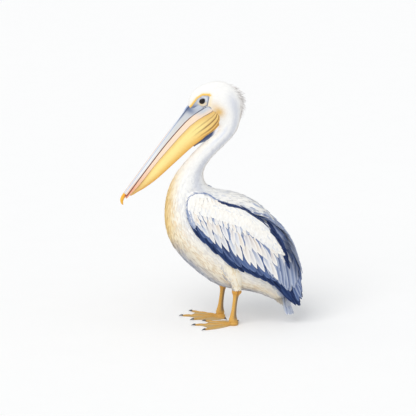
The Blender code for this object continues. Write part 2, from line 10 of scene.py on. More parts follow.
import bpy
import numpy as np
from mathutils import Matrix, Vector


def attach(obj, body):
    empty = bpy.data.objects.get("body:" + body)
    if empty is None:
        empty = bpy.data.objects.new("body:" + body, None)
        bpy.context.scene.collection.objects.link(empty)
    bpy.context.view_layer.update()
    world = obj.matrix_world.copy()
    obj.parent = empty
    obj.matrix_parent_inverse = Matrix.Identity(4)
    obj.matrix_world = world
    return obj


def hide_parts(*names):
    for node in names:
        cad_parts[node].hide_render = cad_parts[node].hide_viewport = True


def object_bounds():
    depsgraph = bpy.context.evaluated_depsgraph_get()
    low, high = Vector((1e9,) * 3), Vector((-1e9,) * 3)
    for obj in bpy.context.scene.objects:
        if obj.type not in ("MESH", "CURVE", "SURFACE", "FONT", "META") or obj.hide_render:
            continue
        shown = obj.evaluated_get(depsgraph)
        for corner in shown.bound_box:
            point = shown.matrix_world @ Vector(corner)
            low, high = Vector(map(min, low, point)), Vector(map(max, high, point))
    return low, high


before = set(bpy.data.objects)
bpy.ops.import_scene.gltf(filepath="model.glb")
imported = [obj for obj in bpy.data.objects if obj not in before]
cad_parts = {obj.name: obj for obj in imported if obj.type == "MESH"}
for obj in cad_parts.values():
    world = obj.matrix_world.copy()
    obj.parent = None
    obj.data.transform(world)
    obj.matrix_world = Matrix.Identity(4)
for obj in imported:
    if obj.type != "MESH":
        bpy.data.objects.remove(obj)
CAD_BOX = [list(corner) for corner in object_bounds()]
MM = 0.001  # the tables below are in millimetres
RANDOM = np.random.default_rng(11)
print("frame nodes:", len(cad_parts), "box:", np.round(CAD_BOX, 3).tolist())

# %% [markdown]
# ## Camera, floor and light
# A long lens from eight metres keeps the bird's proportions flat, as a field guide plate does. The camera
# looks square at the left side from thirteen degrees up, so one wide floor fills the whole background. A
# sun with a very wide disc works like a big soft box: it lights the floor evenly, with a soft shadow.

# %% Camera, floor, light
LENS = 177.5  # millimetres
AWAY = 8.0  # metres from the bird
FLOOR_REACH = 30.0
low, high = np.array(CAD_BOX)
aim = (low + high) / 2 + (-0.0137, 0, -0.0219)
tilt = math.radians(13)
camera = bpy.data.objects.new("camera", bpy.data.cameras.new("camera"))
camera.data.lens = LENS
camera.data.clip_end = 200
camera.location = aim + AWAY * np.array([0, -math.cos(tilt), math.sin(tilt)])
camera.rotation_euler = (math.pi / 2 - tilt, 0, 0)
bpy.context.scene.collection.objects.link(camera)
bpy.context.scene.camera = camera

world = bpy.data.worlds.new("studio")
world.use_nodes = True
world.node_tree.nodes["Background"].inputs["Color"].default_value = (0.97, 0.985, 1.0, 1)
world.node_tree.nodes["Background"].inputs["Strength"].default_value = 0.66
bpy.context.scene.world = world
bpy.context.scene.view_settings.view_transform = "Standard"


def add_sun(name, strength, angle, turn, height, colour):
    """A sun from a bearing (turn, 0 behind the camera, positive to its left) and a height, in degrees."""
    data = bpy.data.lights.new(name, "SUN")
    data.energy = strength
    data.angle = math.radians(angle)
    data.color = colour
    sun = bpy.data.objects.new(name, data)
    sun.rotation_euler = (math.radians(90 - height), 0, math.radians(-turn))
    bpy.context.scene.collection.objects.link(sun)


add_sun("key", 1.4, 45, 30, 46, (1.0, 0.985, 0.96))
add_sun("fill", 0.3, 90, -50, 30, (0.95, 0.975, 1.0))
floor_mesh = bpy.data.meshes.new("floor")
corners = [(x * FLOOR_REACH, y * FLOOR_REACH, 0) for x, y in ((-1, -1), (1, -1), (1, 1), (-1, 1))]
floor_mesh.from_pydata(corners, [], [(0, 1, 2, 3)])
floor = bpy.data.objects.new("floor", floor_mesh)
bpy.context.scene.collection.objects.link(floor)
print("camera at", np.round(camera.location, 3).tolist())

# %% [markdown]
# ## Shader arithmetic
# Every finish is a small graph of nodes. Written by hand that is pages of links, so a socket is wrapped
# in a class whose operators add Math nodes: `1 - mask * 0.3` reads as it would on paper. Anything that
# isn't arithmetic goes through one method, which sets a node's options first and its sockets after.


# %% The wire and the finish
class Wire:
    """An output socket. Adding, multiplying or comparing it with a number or a wire adds a Math node."""

    def __init__(self, finish, socket):
        self.finish = finish
        self.socket = socket

    def join(self, operation, *values, clamp=False):
        settings = {"operation": operation, "use_clamp": clamp}
        return self.finish.node("Math", settings, dict(enumerate(values)))

    def __add__(self, other):
        return self.join("ADD", self, other)

    def __sub__(self, other):
        return self.join("SUBTRACT", self, other)

    def __rsub__(self, other):
        return self.join("SUBTRACT", other, self)

    def __mul__(self, other):
        return self.join("MULTIPLY", self, other)

    def held(self):
        """The value kept between 0 and 1."""
        return self.join("ADD", self, 0.0, clamp=True)

    def wave(self):
        """A sine of the value, from 0 to 1."""
        return self.join("SINE", self) * 0.5 + 0.5

    def size(self):
        """The value without its sign."""
        return self.join("ABSOLUTE", self)

    __radd__ = __add__
    __rmul__ = __mul__


class Finish:
    """A material being made: `node` adds any node, and `done` links the shader's sockets."""

    def __init__(self, name):
        self.material = bpy.data.materials.new(name)
        self.material.use_nodes = True
        self.tree = self.material.node_tree
        self.shader = self.tree.nodes["Principled BSDF"]

    def node(self, kind, settings=None, sockets=None, out=0):
        made = self.tree.nodes.new("ShaderNode" + kind)
        for key, value in (settings or {}).items():
            setattr(made, key, value)
        for key, value in (sockets or {}).items():
            if isinstance(value, Wire):
                self.tree.links.new(value.socket, made.inputs[key])
            else:
                made.inputs[key].default_value = value
        return Wire(self, made.outputs[out])

    def paint(self):
        """The colours painted on the mesh."""
        return self.node("VertexColor", {"layer_name": "marking"})

    def axis(self, vector, letter):
        """One number of a vector."""
        return self.node("SeparateXYZ", None, {"Vector": vector}, out=letter)

    def place(self, *stretch):
        """Object coordinates, stretched along x, y and z."""
        where = self.node("TexCoord", out="Object")
        return self.node("Mapping", None, {"Vector": where, "Scale": stretch or (1, 1, 1)})

    def noise(self, where, scale, detail=3.0):
        sockets = {"Vector": where, "Scale": scale, "Detail": detail, "Roughness": 0.55}
        return self.node("TexNoise", None, sockets)

    def tinted(self, colour, other, amount, blend="MIX"):
        """Two colours mixed by an amount. The plain colours are given as three numbers."""
        full = [c if isinstance(c, Wire) else (*c, 1.0) for c in (colour, other)]
        settings = {"data_type": "RGBA", "blend_type": blend}
        return self.node("Mix", settings, {0: amount, 6: full[0], 7: full[1]}, out=2)

    def done(self, numbers, links):
        for key, value in numbers.items():
            self.shader.inputs[key].default_value = value
        for key, wire in links.items():
            self.tree.links.new(wire.socket, self.shader.inputs[key])
        return self.material

    def bump(self, height, strength, distance):
        return self.node("Bump", None, {"Height": height, "Strength": strength, "Distance": distance})


def tint(red, green, blue):
    """A paint chart's 0-255 colour as the linear light that shaders mix."""
    part = np.array([red, green, blue]) / 255
    return np.where(part <= 0.04045, part / 12.92, ((part + 0.055) / 1.055) ** 2.4)


print("white plumage is", np.round(tint(252, 251, 249), 3).tolist())

# %% [markdown]
# ## Finishes
# The colours themselves are painted on the mesh as a point attribute named `marking`, by rules written
# further down, so that skin and feathers agree wherever they meet. A finish then adds what paint can't:
# a feather's shaft and barbs, the grain of horn, the scales of a foot, the fine creases of bare skin.


# %% Feather finish
def feather_finish(name, roughness, gloss):
    """Barbs are waves that run out from the shaft at a slant: sine of (along + distance from shaft)."""
    f = Finish(name)
    vane = f.node("UVMap", {"uv_map": "vane"})
    off = (f.axis(vane, "X") - 0.5).size()
    barbs = (f.axis(vane, "Y") * 90.0 - off * 46.0).wave()
    shaft = (1.0 - off * 14.0).held()
    patch = f.noise(f.place(), 95.0)
    drawn_out = f.node("VectorMath", {"operation": "MULTIPLY"}, {0: vane, 1: (9.0, 1.4, 1.0)})
    streak = f.noise(drawn_out, 1.6)
    dark = (barbs * 0.05 + shaft * 0.08 + (patch - 0.5) * 0.20 + (streak - 0.5) * 0.20).held()
    worn = f.tinted(f.paint(), (0.66, 0.70, 0.80), dark, "MULTIPLY")
    rough = patch * 0.16 + (roughness - 0.08)
    relief = f.bump(barbs * 0.4 + shaft * 0.9, 0.35, 0.0004)
    links = {"Base Color": worn, "Roughness": rough, "Normal": relief}
    return f.done({"Metallic": 0.0, "Specular IOR Level": gloss}, links)


# %% Bare skin, horn and eye finishes
def skin_finish(name, scale, roughness):
    """Bare skin: the edges of Voronoi cells are the lines between scales, deep on the legs only."""
    f = Finish(name)
    where = f.place()
    mottle = f.noise(where, scale * 0.35, 4.0)
    settings = {"feature": "DISTANCE_TO_EDGE"}
    edge = f.node("TexVoronoi", settings, {"Vector": where, "Scale": scale}, out="Distance")
    height = f.axis(f.node("TexCoord", out="Object"), "Z")
    legs = (1.0 - height * 5.0).held()
    lines = (1.0 - edge * 9.0).held() * (legs * 0.85 + 0.15)
    shade = (lines * 0.30 + (mottle - 0.5) * 0.30).held()
    worn = f.tinted(f.paint(), (0.55, 0.42, 0.32), shade, "MULTIPLY")
    rough = mottle * 0.2 + (roughness - 0.1)
    relief = f.bump((1.0 - lines) * 0.7 + mottle * 0.5, 0.5, 0.0006)
    links = {"Base Color": worn, "Roughness": rough, "Normal": relief}
    return f.done({"Metallic": 0.0, "Specular IOR Level": 0.4}, links)


def horn_finish(name, roughness, grain, along):
    """Horn grows in layers, so its grain is noise drawn out along the bill, with a faint gloss."""
    f = Finish(name)
    where = f.node("TexCoord", out="Object")
    sockets = {"Vector": where, "Rotation": (0, along, 0), "Scale": (1, 0.09, 0.09)}
    turned = f.node("Mapping", {"vector_type": "TEXTURE"}, sockets)
    fibre = f.noise(turned, grain, 4.0)
    stain = f.noise(where, 30.0, 3.0)
    shade = ((fibre - 0.45) * 0.55 + (stain - 0.5) * 0.25).held()
    worn = f.tinted(f.paint(), (0.60, 0.56, 0.55), shade, "MULTIPLY")
    rough = fibre * 0.25 + (roughness - 0.12)
    links = {"Base Color": worn, "Roughness": rough, "Normal": f.bump(fibre, 0.3, 0.0005)}
    return f.done({"Metallic": 0.0, "Coat Weight": 0.12, "Coat Roughness": 0.3}, links)


def eye_finish(name):
    """A wet ball: painted iris, streaked from the middle outwards, under a clear coat."""
    f = Finish(name)
    fleck = f.noise(f.place(1.0, 0.2, 1.0), 420.0, 2.0)
    worn = f.tinted(f.paint(), (0.5, 0.4, 0.35), (fleck - 0.3).held() * 0.6, "MULTIPLY")
    rough = fleck * 0.05 + 0.06
    numbers = {"Metallic": 0.0, "Specular IOR Level": 0.1, "Coat Weight": 0.45, "Coat Roughness": 0.02}
    return f.done(numbers, {"Base Color": worn, "Roughness": rough})


paper = Finish("floor_paper")
grain = paper.noise(paper.place(), 6.0)
sheet = paper.tinted((0.98, 0.98, 0.98), (0.965, 0.965, 0.965), grain)
paper_links = {"Base Color": sheet, "Roughness": grain * 0.1 + 0.85}
floor_mesh.materials.append(paper.done({"Specular IOR Level": 0.1}, paper_links))

BILL_SLOPE = math.radians(-54.1)
DOWN = feather_finish("contour_feather", 0.82, 0.2)
QUILL = feather_finish("flight_feather", 0.7, 0.06)
SKIN = skin_finish("bare_skin", 330.0, 0.55)
BILL = horn_finish("bill_horn", 0.42, 60.0, BILL_SLOPE)
NAIL = horn_finish("bill_nail", 0.36, 90.0, BILL_SLOPE)
CLAW = horn_finish("claw_horn", 0.34, 160.0, 0.0)
EYE = eye_finish("eye")
print("finishes:", [m.name for m in (DOWN, QUILL, SKIN, BILL, NAIL, CLAW, EYE)])

# %% [markdown]
# ## The body as rings
# Flesh under feathers is one smooth tube, bent like a swan's neck and swollen at the breast. Each ring
# stands on a line from the back outline to the belly outline. A natural cubic spline carries the six
# numbers of a ring from station to station, so any point of the body is a function of two numbers: the
# place s along the tube and the angle round it, 0 at the back and 180 degrees at the belly.


# %% Splines through tables
def spline(rows):
    """A natural cubic spline through rows at 0, 1, 2 ...: second slopes solve the 1-4-1 system."""
    rows = np.asarray(rows, float)
    count = len(rows)
    system = np.eye(count)
    inner = np.arange(1, count - 1)
    system[inner, inner - 1] = 1
    system[inner, inner] = 4
    system[inner, inner + 1] = 1
    bend = np.zeros_like(rows)
    bend[1:-1] = 6 * (rows[2:] - 2 * rows[1:-1] + rows[:-2])
    second = np.linalg.solve(system, bend)

    def at(place):
        place = np.asarray(place, float)
        low = np.clip(np.floor(place).astype(int), 0, count - 2)
        b = (place - low)[..., None]
        a = 1 - b
        curved = (a**3 - a) * second[low] + (b**3 - b) * second[low + 1]
        return a * rows[low] + b * rows[low + 1] + curved / 6

    return at


def knots(table):
    """A spline through rows of (place, values...) that need not be evenly spaced."""
    table = np.array(table, float)
    curve = spline(table[:, 1:])
    return lambda place: curve(np.interp(place, table[:, 0], np.arange(len(table))))


def fade(value, start, end):
    """0 at start, 1 at end, smooth between: 3t^2 - 2t^3."""
    t = np.clip((value - start) / (end - start), 0, 1)
    return t * t * (3 - 2 * t)


# %% The body's stations
STATIONS = [  # back x, back z, belly x, belly z, half width, percent wider below
    (-93, 874, -68, 826, 25, 12),  # 0 brow
    (-74, 918, -39, 808, 31, 18),
    (-27, 948, -12, 796, 37, 12),  # 2 eyes
    (27, 958, 8, 790, 41, 5),
    (78, 938, 19, 788, 41, 0),
    (107, 890, 25, 785, 39, 0),  # 5 nape
    (112, 828, 27, 780, 36.5, 0),
    (96, 766, 21, 766, 35, 0),
    (57, 717, -4, 743, 34.5, 0),
    (0, 659, -53, 697, 36.5, 0),  # 9 middle of the neck
    (-32, 605, -111, 633, 44, 0),
    (-27, 561, -154, 571, 58, 0),
    (8, 533, -180, 489, 84, 0),  # 12 shoulders
    (82, 520, -181, 384, 105, 0),
    (158, 488, -140, 288, 113, 0),
    (220, 438, -62, 208, 108, 0),  # 15 back
    (262, 376, 27, 148, 95, 0),
    (290, 304, 121, 128, 76, 0),  # 17 rump
    (305, 226, 200, 108, 54, 0),
    (309, 152, 266, 76, 32, 0),  # 19 tail coverts
]
FACE_POLE = (-90, 846)
FULLNESS = 0.92  # the power of the sine across: 1 is an ellipse, less is squarer
BODY = spline(STATIONS)
S_END = len(STATIONS) - 1
CROWN_SIDE = 0.6  # the bare face stops this many radians round from the back


def body(s, angle, grow=0.0):
    """Point of the body: centre + (half depth + grow) cos(angle), and (half width + grow) sin(angle)."""
    s, angle, grow = np.broadcast_arrays(*(np.asarray(v, float) for v in (s, angle, grow)))
    row = BODY(np.clip(s, 0, S_END))
    back, belly = row[..., 0:2], row[..., 2:4]
    centre, depth = (back + belly) / 2, (back - belly) / 2
    size = np.maximum(np.linalg.norm(depth, axis=-1), 0.001)
    cos, sin = np.cos(angle), np.sin(angle)
    flat = centre + depth * ((size + grow) / size * cos)[..., None]
    width = row[..., 4] * (1 - row[..., 5] / 100 * cos) + grow
    across = -width * np.sign(sin) * np.abs(sin) ** FULLNESS
    return np.stack([flat[..., 0], across, flat[..., 1]], -1)


def stretch(s, angle):
    """Millimetres of skin for one step of s, and for one radian of angle, at each place."""
    e = 0.01
    along = body(s + e, angle) - body(s - e, angle)
    around = body(s, angle + e) - body(s, angle - e)
    return np.linalg.norm(along, axis=-1) / (2 * e), np.linalg.norm(around, axis=-1) / (2 * e)


girth = np.abs(body(np.linspace(0, S_END, 99)[:, None], np.linspace(0, 6, 50))[..., 1])
print("widest ring:", round(float(girth.max()), 1), "mm to a side")

# %% [markdown]
# ## Where the face is bare
# A pelican's face is naked skin from the bill to behind the eye, and so are the jaw and the pouch. Their
# borders are outlines in the side view. A signed distance to an outline, positive inside, is all that is
# needed: it keeps feathers off bare skin and lets colour change softly or sharply across the border.


# %% Outlines and distances
def within(x, z, outline):
    """Signed distance from a closed outline in the side view, positive inside (even-odd rule)."""
    a = np.asarray(outline, float)
    way = np.roll(a, -1, 0) - a
    p = np.stack([np.ravel(x), np.ravel(z)], 1)[:, None]
    part = np.clip(((p - a) * way).sum(-1) / (way**2).sum(-1), 0, 1)
    near = np.linalg.norm(p - a - way * part[..., None], axis=-1).min(1)
    b = np.roll(a, -1, 0)
    spans = (a[:, 1] > p[..., 1]) != (b[:, 1] > p[..., 1])
    rise = np.where(way[:, 1] == 0, 1e-9, way[:, 1])
    left = p[..., 0] < a[:, 0] + (p[..., 1] - a[:, 1]) * way[:, 0] / rise
    odd = (spans & left).sum(1) % 2 == 1
    return np.where(odd, near, -near).reshape(np.shape(x))


FACE = [(-88, 852), (-77, 866), (-57, 894), (-38, 907), (-14, 908), (-10, 902), (-17, 868), (-35, 858)]
FACE += [(-52, 848), (-70, 836), (-82, 842)]


def above_brow(x, z):
    """1 above the slanting line that runs back from the bill's root, 0 below it."""
    return fade(z - 853 - (x + 88) * 0.62, -1, 5)


# %% The bill's own grid
# t runs along the ridge of the bill from its root to the hook; q is square to it, down to the pouch.
BILL_ROOT = np.array([-101.8, 853.0])
BILL_WAY = np.array([-0.586, -0.810])
BILL_DOWN = np.array([0.810, -0.586])
# t, seam q, lower edge of the mandible q, lower edge of the pouch q, half width, pouch half width
BILL_TABLE = [
    (-62, 59, 92, 119, 39, 37),
    (-45, 53.5, 85, 138, 37.5, 37),
    (-24, 46, 75.5, 145.5, 34.5, 36),
    (5, 37, 64, 145, 31, 34),
    (43, 29.5, 53.5, 132, 28, 32),
    (102, 24, 45.5, 112.5, 24.5, 28),
    (171, 20, 39.5, 98, 22, 25),
    (235, 18.5, 34.5, 85.5, 21, 22),
    (299, 17.5, 32.5, 72, 20.5, 18),
    (355, 17, 30, 54, 20, 13),
    (395, 17, 26, 37, 17.5, 8),
    (412, 17.2, 24, 29, 14.5, 4),
    (430, 17.5, 22, 24, 9, 2),
]
BILL_AT = knots(BILL_TABLE)
BILL_TIP = 412  # t where the horn ends and the nail begins


def bill_place(t, y, q):
    """Points of the bill from t, the distance y to the right, and q."""
    t, y, q = np.broadcast_arrays(*(np.asarray(v, float) for v in (t, y, q)))
    flat = BILL_ROOT + BILL_WAY * t[..., None] + BILL_DOWN * q[..., None]
    return np.stack([flat[..., 0], y, flat[..., 1]], -1)


def bill_coordinates(x, z):
    """t and q of points in the side view."""
    off = np.stack([x, z], -1) - BILL_ROOT
    return off @ BILL_WAY, off @ BILL_DOWN


reach = np.linspace(-60, 120, 40)
upper = bill_place(reach, 0, BILL_AT(reach)[:, 0] - 3)[:, [0, 2]]
lower = bill_place(reach, 0, BILL_AT(reach)[:, 2])[:, [0, 2]]
MOUTH = np.concatenate([upper, lower[::-1]])
print("face outline", len(FACE), "points, mouth outline", len(MOUTH))

# %% [markdown]
# ## Markings
# The plumage is white, washed in a few soft places: cream on the breast, straw along the belly, blue-grey
# over the back, ochre on the cheek, brown-grey on the nape plumes. Painted shade is laid on the same way:
# grey-blue under the lower belly and blue-grey bands down the side and front of the neck. One function
# gives the colour at a place of the body. The skin is painted with it directly; a feather takes it at
# its root, and some feathers take the darker streak colour of their region.


# %% Plumage colours
def wash(colour, amount, paint):
    """Colour mixed towards a paint by an amount at each place."""
    amount = np.clip(amount, 0, 1)[..., None]
    return colour * (1 - amount) + tint(*paint) * amount


def painted(shape, base, *washes):
    """A base paint over a whole shape, with washes laid over it in order, each an amount and a paint."""
    colour = np.ones((*shape, 3)) * tint(*base)
    for amount, paint in washes:
        colour = wash(colour, amount, paint)
    return colour


def blended(first, second, share):
    """Two paints mixed, the first by its share."""
    return tint(*first) * share + tint(*second) * (1 - share)


def side_of(angle):
    """How far round from the back, 0 to pi, on either side."""
    return np.abs((angle + np.pi) % (2 * np.pi) - np.pi)


def near(value, middle, spread):
    """1 at the middle, falling away as exp of minus the square of the distance over the spread."""
    return np.exp(-(((value - middle) / spread) ** 2))


def tailward(s, x, z):
    """1 beside the tail, past a slanting line in the side view, where feathers turn to blue-grey blades."""
    return fade((x - 226) * 0.80 + (z - 156) * 0.60, -2, 6) * fade(s, 16.6, 17.3)


def plumage(s, angle, place):
    """Linear colour of plumage at loft place s and angle, with its side-view place for the head."""
    x, z = place[..., 0], place[..., 2]
    side = side_of(angle)
    cheek = near(np.hypot(x - 22, (z - 843) * 1.05), 0, 22) + 0.35 * near(np.hypot(x - 2, z - 866), 0, 20)
    rim = within(x, z, FACE)
    front = fade(10 - x, 0, 14)
    return painted(
        np.shape(s),
        (248, 247, 244),
        (0.8 * fade(s, 9.4, 11.5) * fade(side, 1.9, 2.6), (251, 240, 208)),
        (0.92 * fade(s, 9.8, 11.8) * fade(side, 2.25, 2.9) * fade(-s, -15.2, -13.0), (243, 210, 136)),
        (0.55 * fade(s, 12.6, 14.5) * fade(side, 1.5, 2.5), (242, 231, 208)),
        # painted shade: grey-blue under the lower belly
        (0.85 * fade(s, 12.6, 14.2) * fade(side, 2.25, 2.85), (182, 188, 202)),
        (0.45 * fade(s, 16.5, 18) * fade(side, 1.2, 2.2), (226, 216, 198)),
        (0.75 * tailward(s, x, z), (160, 173, 200)),
        # painted shade: a blue-grey band down the side of the neck, and a paler blue band nearer its front
        (0.70 * near(side, 1.0, 0.36) * fade(s, 3.2, 4.6) * fade(-s, -12.8, -10.8), (203, 207, 219)),
        (0.50 * near(side, 1.85, 0.22) * fade(s, 5.6, 6.6) * fade(-s, -9.5, -7.5), (214, 221, 238)),
        (0.70 * fade(0.55 - side, 0, 0.4) * fade(s, 4.6, 6) * fade(-s, -11.5, -9.5), (224, 211, 194)),
        (0.35 * fade(s, 12.5, 14.5) * fade(1.5 - side, 0, 1), (222, 226, 234)),
        (0.95 * cheek * (side > 1), (229, 187, 104)),
        (near(rim, -1.8, 4.2) * above_brow(x, z) * front * 1.25, (246, 190, 40)),
        (0.35 * near(rim, -5, 6) * front * fade(z, 852, 868), (250, 222, 140)),
    )


def streaks(s, angle, chance):
    """The darker colour that a feather may take, and how strongly, by region."""
    side = side_of(angle)
    colour = painted(
        np.shape(s),
        (214, 218, 227),
        (fade(s, 9.5, 11) * fade(side, 1.9, 2.4), (222, 182, 112)),
        # painted shade: dark grey-blue streaks under the lower belly
        (fade(s, 12.6, 14.0) * fade(side, 2.15, 2.75), (128, 138, 166)),
        (fade(s, 12, 13) * fade(1.5 - side, 0, 0.7), (162, 174, 198)),
    )
    # the extra strength down the side of the neck is painted shade: grey streaks in its shaded band
    strength = 0.06 + 0.54 * fade(s, 10, 12) + 0.2 * fade(s, 4, 6) * near(side, 0.9, 0.5)
    share = 0.16 + 0.26 * fade(s, 9.5, 12)
    return colour, strength * (chance < share) + 0.10 * chance


breast = plumage(np.array([12.5]), np.array([3.0]), np.array([[-180.0, 0, 450]]))
print("breast colour", np.round(breast, 2).tolist())

# %% [markdown]
# ## Meshes from grids
# Nearly every surface here is a grid of points: rings along a tube, closed to a point at both ends. The
# faces come from index arithmetic on the whole grid. Which way they face is settled by the signed volume
# of the closed shape, a sum of triple products, which is positive only when the faces look outwards.


# %% Grids to faces
def turns(count):
    """Angles once round, evenly spaced, without the last that would repeat the first."""
    return np.linspace(0, 2 * np.pi, count, endpoint=False)


def both_sides(half, sign=1):
    """Whole rings from half sections that run from one end of the middle line to the other."""
    return np.concatenate([sign * half, half[:, -2:0:-1]], 1)


def fan_volume(points, quads, tris):
    """Signed volume: the sum of a . (b x c) / 6 over all triangles."""
    three = np.concatenate([quads[:, [0, 1, 2]], quads[:, [0, 2, 3]], tris])
    a, b, c = (points[three[:, k]] for k in range(3))
    return float((a * np.cross(b, c)).sum() / 6)


def shut(grid, start=None, end=None):
    """A closed shape over rings: quads between them, and a fan of triangles to a point at each end."""
    rows, columns = grid.shape[:2]
    ends = [grid[0].mean(0) if start is None else start, grid[-1].mean(0) if end is None else end]
    points = np.concatenate([grid.reshape(-1, 3), np.array(ends, float)])
    i = np.arange(rows - 1)[:, None] * columns
    j = np.arange(columns)[None]
    k = (j + 1) % columns
    quads = np.stack([i + j, i + k, i + columns + k, i + columns + j], -1).reshape(-1, 4)
    j, k = j[0], k[0]
    last = (rows - 1) * columns
    tip = rows * columns
    first = np.stack([np.full_like(j, tip), k, j], -1)
    final = np.stack([last + j, last + k, np.full_like(j, tip + 1)], -1)
    tris = np.concatenate([first, final])
    if fan_volume(points, quads, tris) < 0:
        quads, tris = quads[:, ::-1], tris[:, ::-1]
    return points, quads, tris


def closed(grid, colour, first, final=None, start=None, end=None):
    """A shut shape with its colours: the grid's own, and one paint for the point at each end."""
    ends = np.array([tint(*first), tint(*(final or first))])
    return *shut(grid, start, end), np.concatenate([colour.reshape(-1, 3), ends])


def hoop(grid):
    """A closed ring of rings, as a tyre: the last ring joins the first."""
    rows, columns = grid.shape[:2]
    i, j = np.arange(rows)[:, None], np.arange(columns)[None]
    n, k = (i + 1) % rows, (j + 1) % columns
    quads = np.stack([i * columns + j, i * columns + k, n * columns + k, n * columns + j], -1).reshape(-1, 4)
    points = grid.reshape(-1, 3)
    if fan_volume(points, quads, np.zeros((0, 3), int)) < 0:
        quads = quads[:, ::-1]
    return points, quads, np.zeros((0, 3), int)


def merged(shapes):
    """Several (points, quads, tris, colour) as one."""
    starts = np.cumsum([0] + [len(s[0]) for s in shapes[:-1]])
    points = np.concatenate([s[0] for s in shapes])
    quads = np.concatenate([s[1] + n for s, n in zip(shapes, starts)])
    tris = np.concatenate([s[2] + n for s, n in zip(shapes, starts)])
    return points, quads, tris, np.concatenate([s[3] for s in shapes])


def add_piece(name, shape, material, stands_for, maps=None):
    """A smooth mesh object that rides on the root body. `maps` holds a UV pair for each face corner."""
    points, quads, tris, colour = shape
    mesh = bpy.data.meshes.new(name)
    mesh.vertices.add(len(points))
    mesh.vertices.foreach_set("co", np.ravel(points * MM).astype(np.float32))
    mesh.loops.add(quads.size + tris.size)
    mesh.loops.foreach_set("vertex_index", np.concatenate([quads.ravel(), tris.ravel()]).astype(np.int32))
    mesh.polygons.add(len(quads) + len(tris))
    starts = np.concatenate([np.arange(len(quads)) * 4, quads.size + np.arange(len(tris)) * 3])
    mesh.polygons.foreach_set("loop_start", starts.astype(np.int32))
    mesh.update(calc_edges=True)
    for key, corners in (maps or {}).items():
        mesh.uv_layers.new(name=key).uv.foreach_set("vector", corners.astype(np.float32).ravel())
    opaque = np.column_stack([colour, np.ones(len(colour))])
    paint = mesh.color_attributes.new("marking", "FLOAT_COLOR", "POINT")
    paint.data.foreach_set("color", opaque.astype(np.float32).ravel())
    mesh.validate()
    mesh.shade_smooth()
    mesh.set_sharp_from_angle(angle=math.radians(58))
    mesh.materials.append(material)
    made = bpy.data.objects.new(name, mesh)
    bpy.context.scene.collection.objects.link(made)
    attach(made, "root")
    if stands_for:
        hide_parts(*stands_for)
    faces = 2 * len(quads) + len(tris)
    print(f"{name}: {faces} triangles, volume {fan_volume(points * 0.1, quads, tris):.1f} cm3")
    return made


# %% [markdown]
# ## How wide the body is at a place of the side view
# Wings lie against the trunk and jaws against the head, so both need the body's half width at a given x
# and z. The rings are sampled densely and each sample's y goes into its cell of a grid, keeping the
# largest. Reading the grid between cells then gives a smooth answer for thousands of places at once.


# %% Width maps
def width_map(s_from, s_to, grow):
    """A function of x and z: the largest |y| of the body grown by `grow`, zero outside its outline."""
    cell = 2.5  # millimetres
    s = np.linspace(s_from, s_to, 900)[:, None]
    angle = np.linspace(0, np.pi, 460)[None]
    x, y, z = np.moveaxis(body(s, angle, grow), -1, 0).reshape(3, -1)
    x0, z0 = x.min() - 4 * cell, z.min() - 4 * cell
    shape = (int((x.max() - x0) / cell) + 5, int((z.max() - z0) / cell) + 5)
    cells = np.zeros(shape)
    column, row = np.round((x - x0) / cell).astype(int), np.round((z - z0) / cell).astype(int)
    np.maximum.at(cells, (column, row), np.abs(y))
    for _ in range(2):
        ring = [np.roll(cells, step, axis) for axis in (0, 1) for step in (-1, 1)]
        cells = np.where(cells > 0, (2 * cells + sum(np.maximum(r, cells * 0.9) for r in ring)) / 6, cells)

    def at(px, pz):
        u = np.clip((np.asarray(px, float) - x0) / cell, 0, shape[0] - 1.001)
        v = np.clip((np.asarray(pz, float) - z0) / cell, 0, shape[1] - 1.001)
        i, j = u.astype(int), v.astype(int)
        a, b = u - i, v - j
        low = cells[i, j] * (1 - a) + cells[i + 1, j] * a
        high = cells[i, j + 1] * (1 - a) + cells[i + 1, j + 1] * a
        return low * (1 - b) + high * b

    return at


HEAD_WIDTH = width_map(0, 9, 0.0)
TRUNK_WIDTH = width_map(10, S_END, 14.5)
print("head half width at the eye:", round(float(HEAD_WIDTH(-37, 885)), 1), "mm")

# %% [markdown]
# ## The skin of head, neck and trunk
# The skin lies inside the solids by the depth of the coat: six millimetres on the trunk, four on the neck,
# two on the crown, and almost nothing on the bare face. Close rings on the head leave room for relief:
# a swollen rim round the eye, and a slight step down where feathers stop and skin begins.

# %% Skin over the loft
EYE_PLACE = (-37.0, 885.0)
EYE_RADIUS = 13.5
EYE_DEPTH = float(HEAD_WIDTH(*EYE_PLACE)) - 8.3
COAT = knots([(0, 1.6), (3, 2.0), (6, 2.8), (9, 3.8), (11, 5.0), (13, 6.5), (17, 6.0), (19, 4.5)])
AROUND = 132  # points in a ring


def from_eye(x, z):
    """Distance from the middle of the eye in the side view."""
    return np.hypot(x - EYE_PLACE[0], z - EYE_PLACE[1])


def paint_face(colour, place):
    """The naked face: lavender grey, dark before the eye and along its border, cream on the lower lid."""
    x, z = place[..., 0], place[..., 2]
    rim = within(x, z, FACE)
    r = from_eye(x, z)
    top = above_brow(x, z)
    skin = painted(
        np.shape(x),
        (178, 186, 199),
        (0.8 * near(r, 17, 5) * fade(z, 880, 892), (216, 220, 228)),
        (0.9 * near(r, 15, 5.5) * fade(z, 886, 876), (232, 212, 172)),
        (0.95 * near(np.hypot((x + 66) * 0.55, z - 859), 0, 11), (82, 97, 132)),
        (0.95 * near(rim, 1.0, 2.4) * (1 - top), (66, 84, 122)),
        (0.7 * near(rim, 2.6, 1.4) * top, (110, 124, 152)),
        (0.95 * near(rim, -0.4, 1.9) * top, (240, 184, 48)),
    )
    bare = fade(rim, -1.2, 0.6)[..., None]
    return colour * (1 - bare) + skin * bare


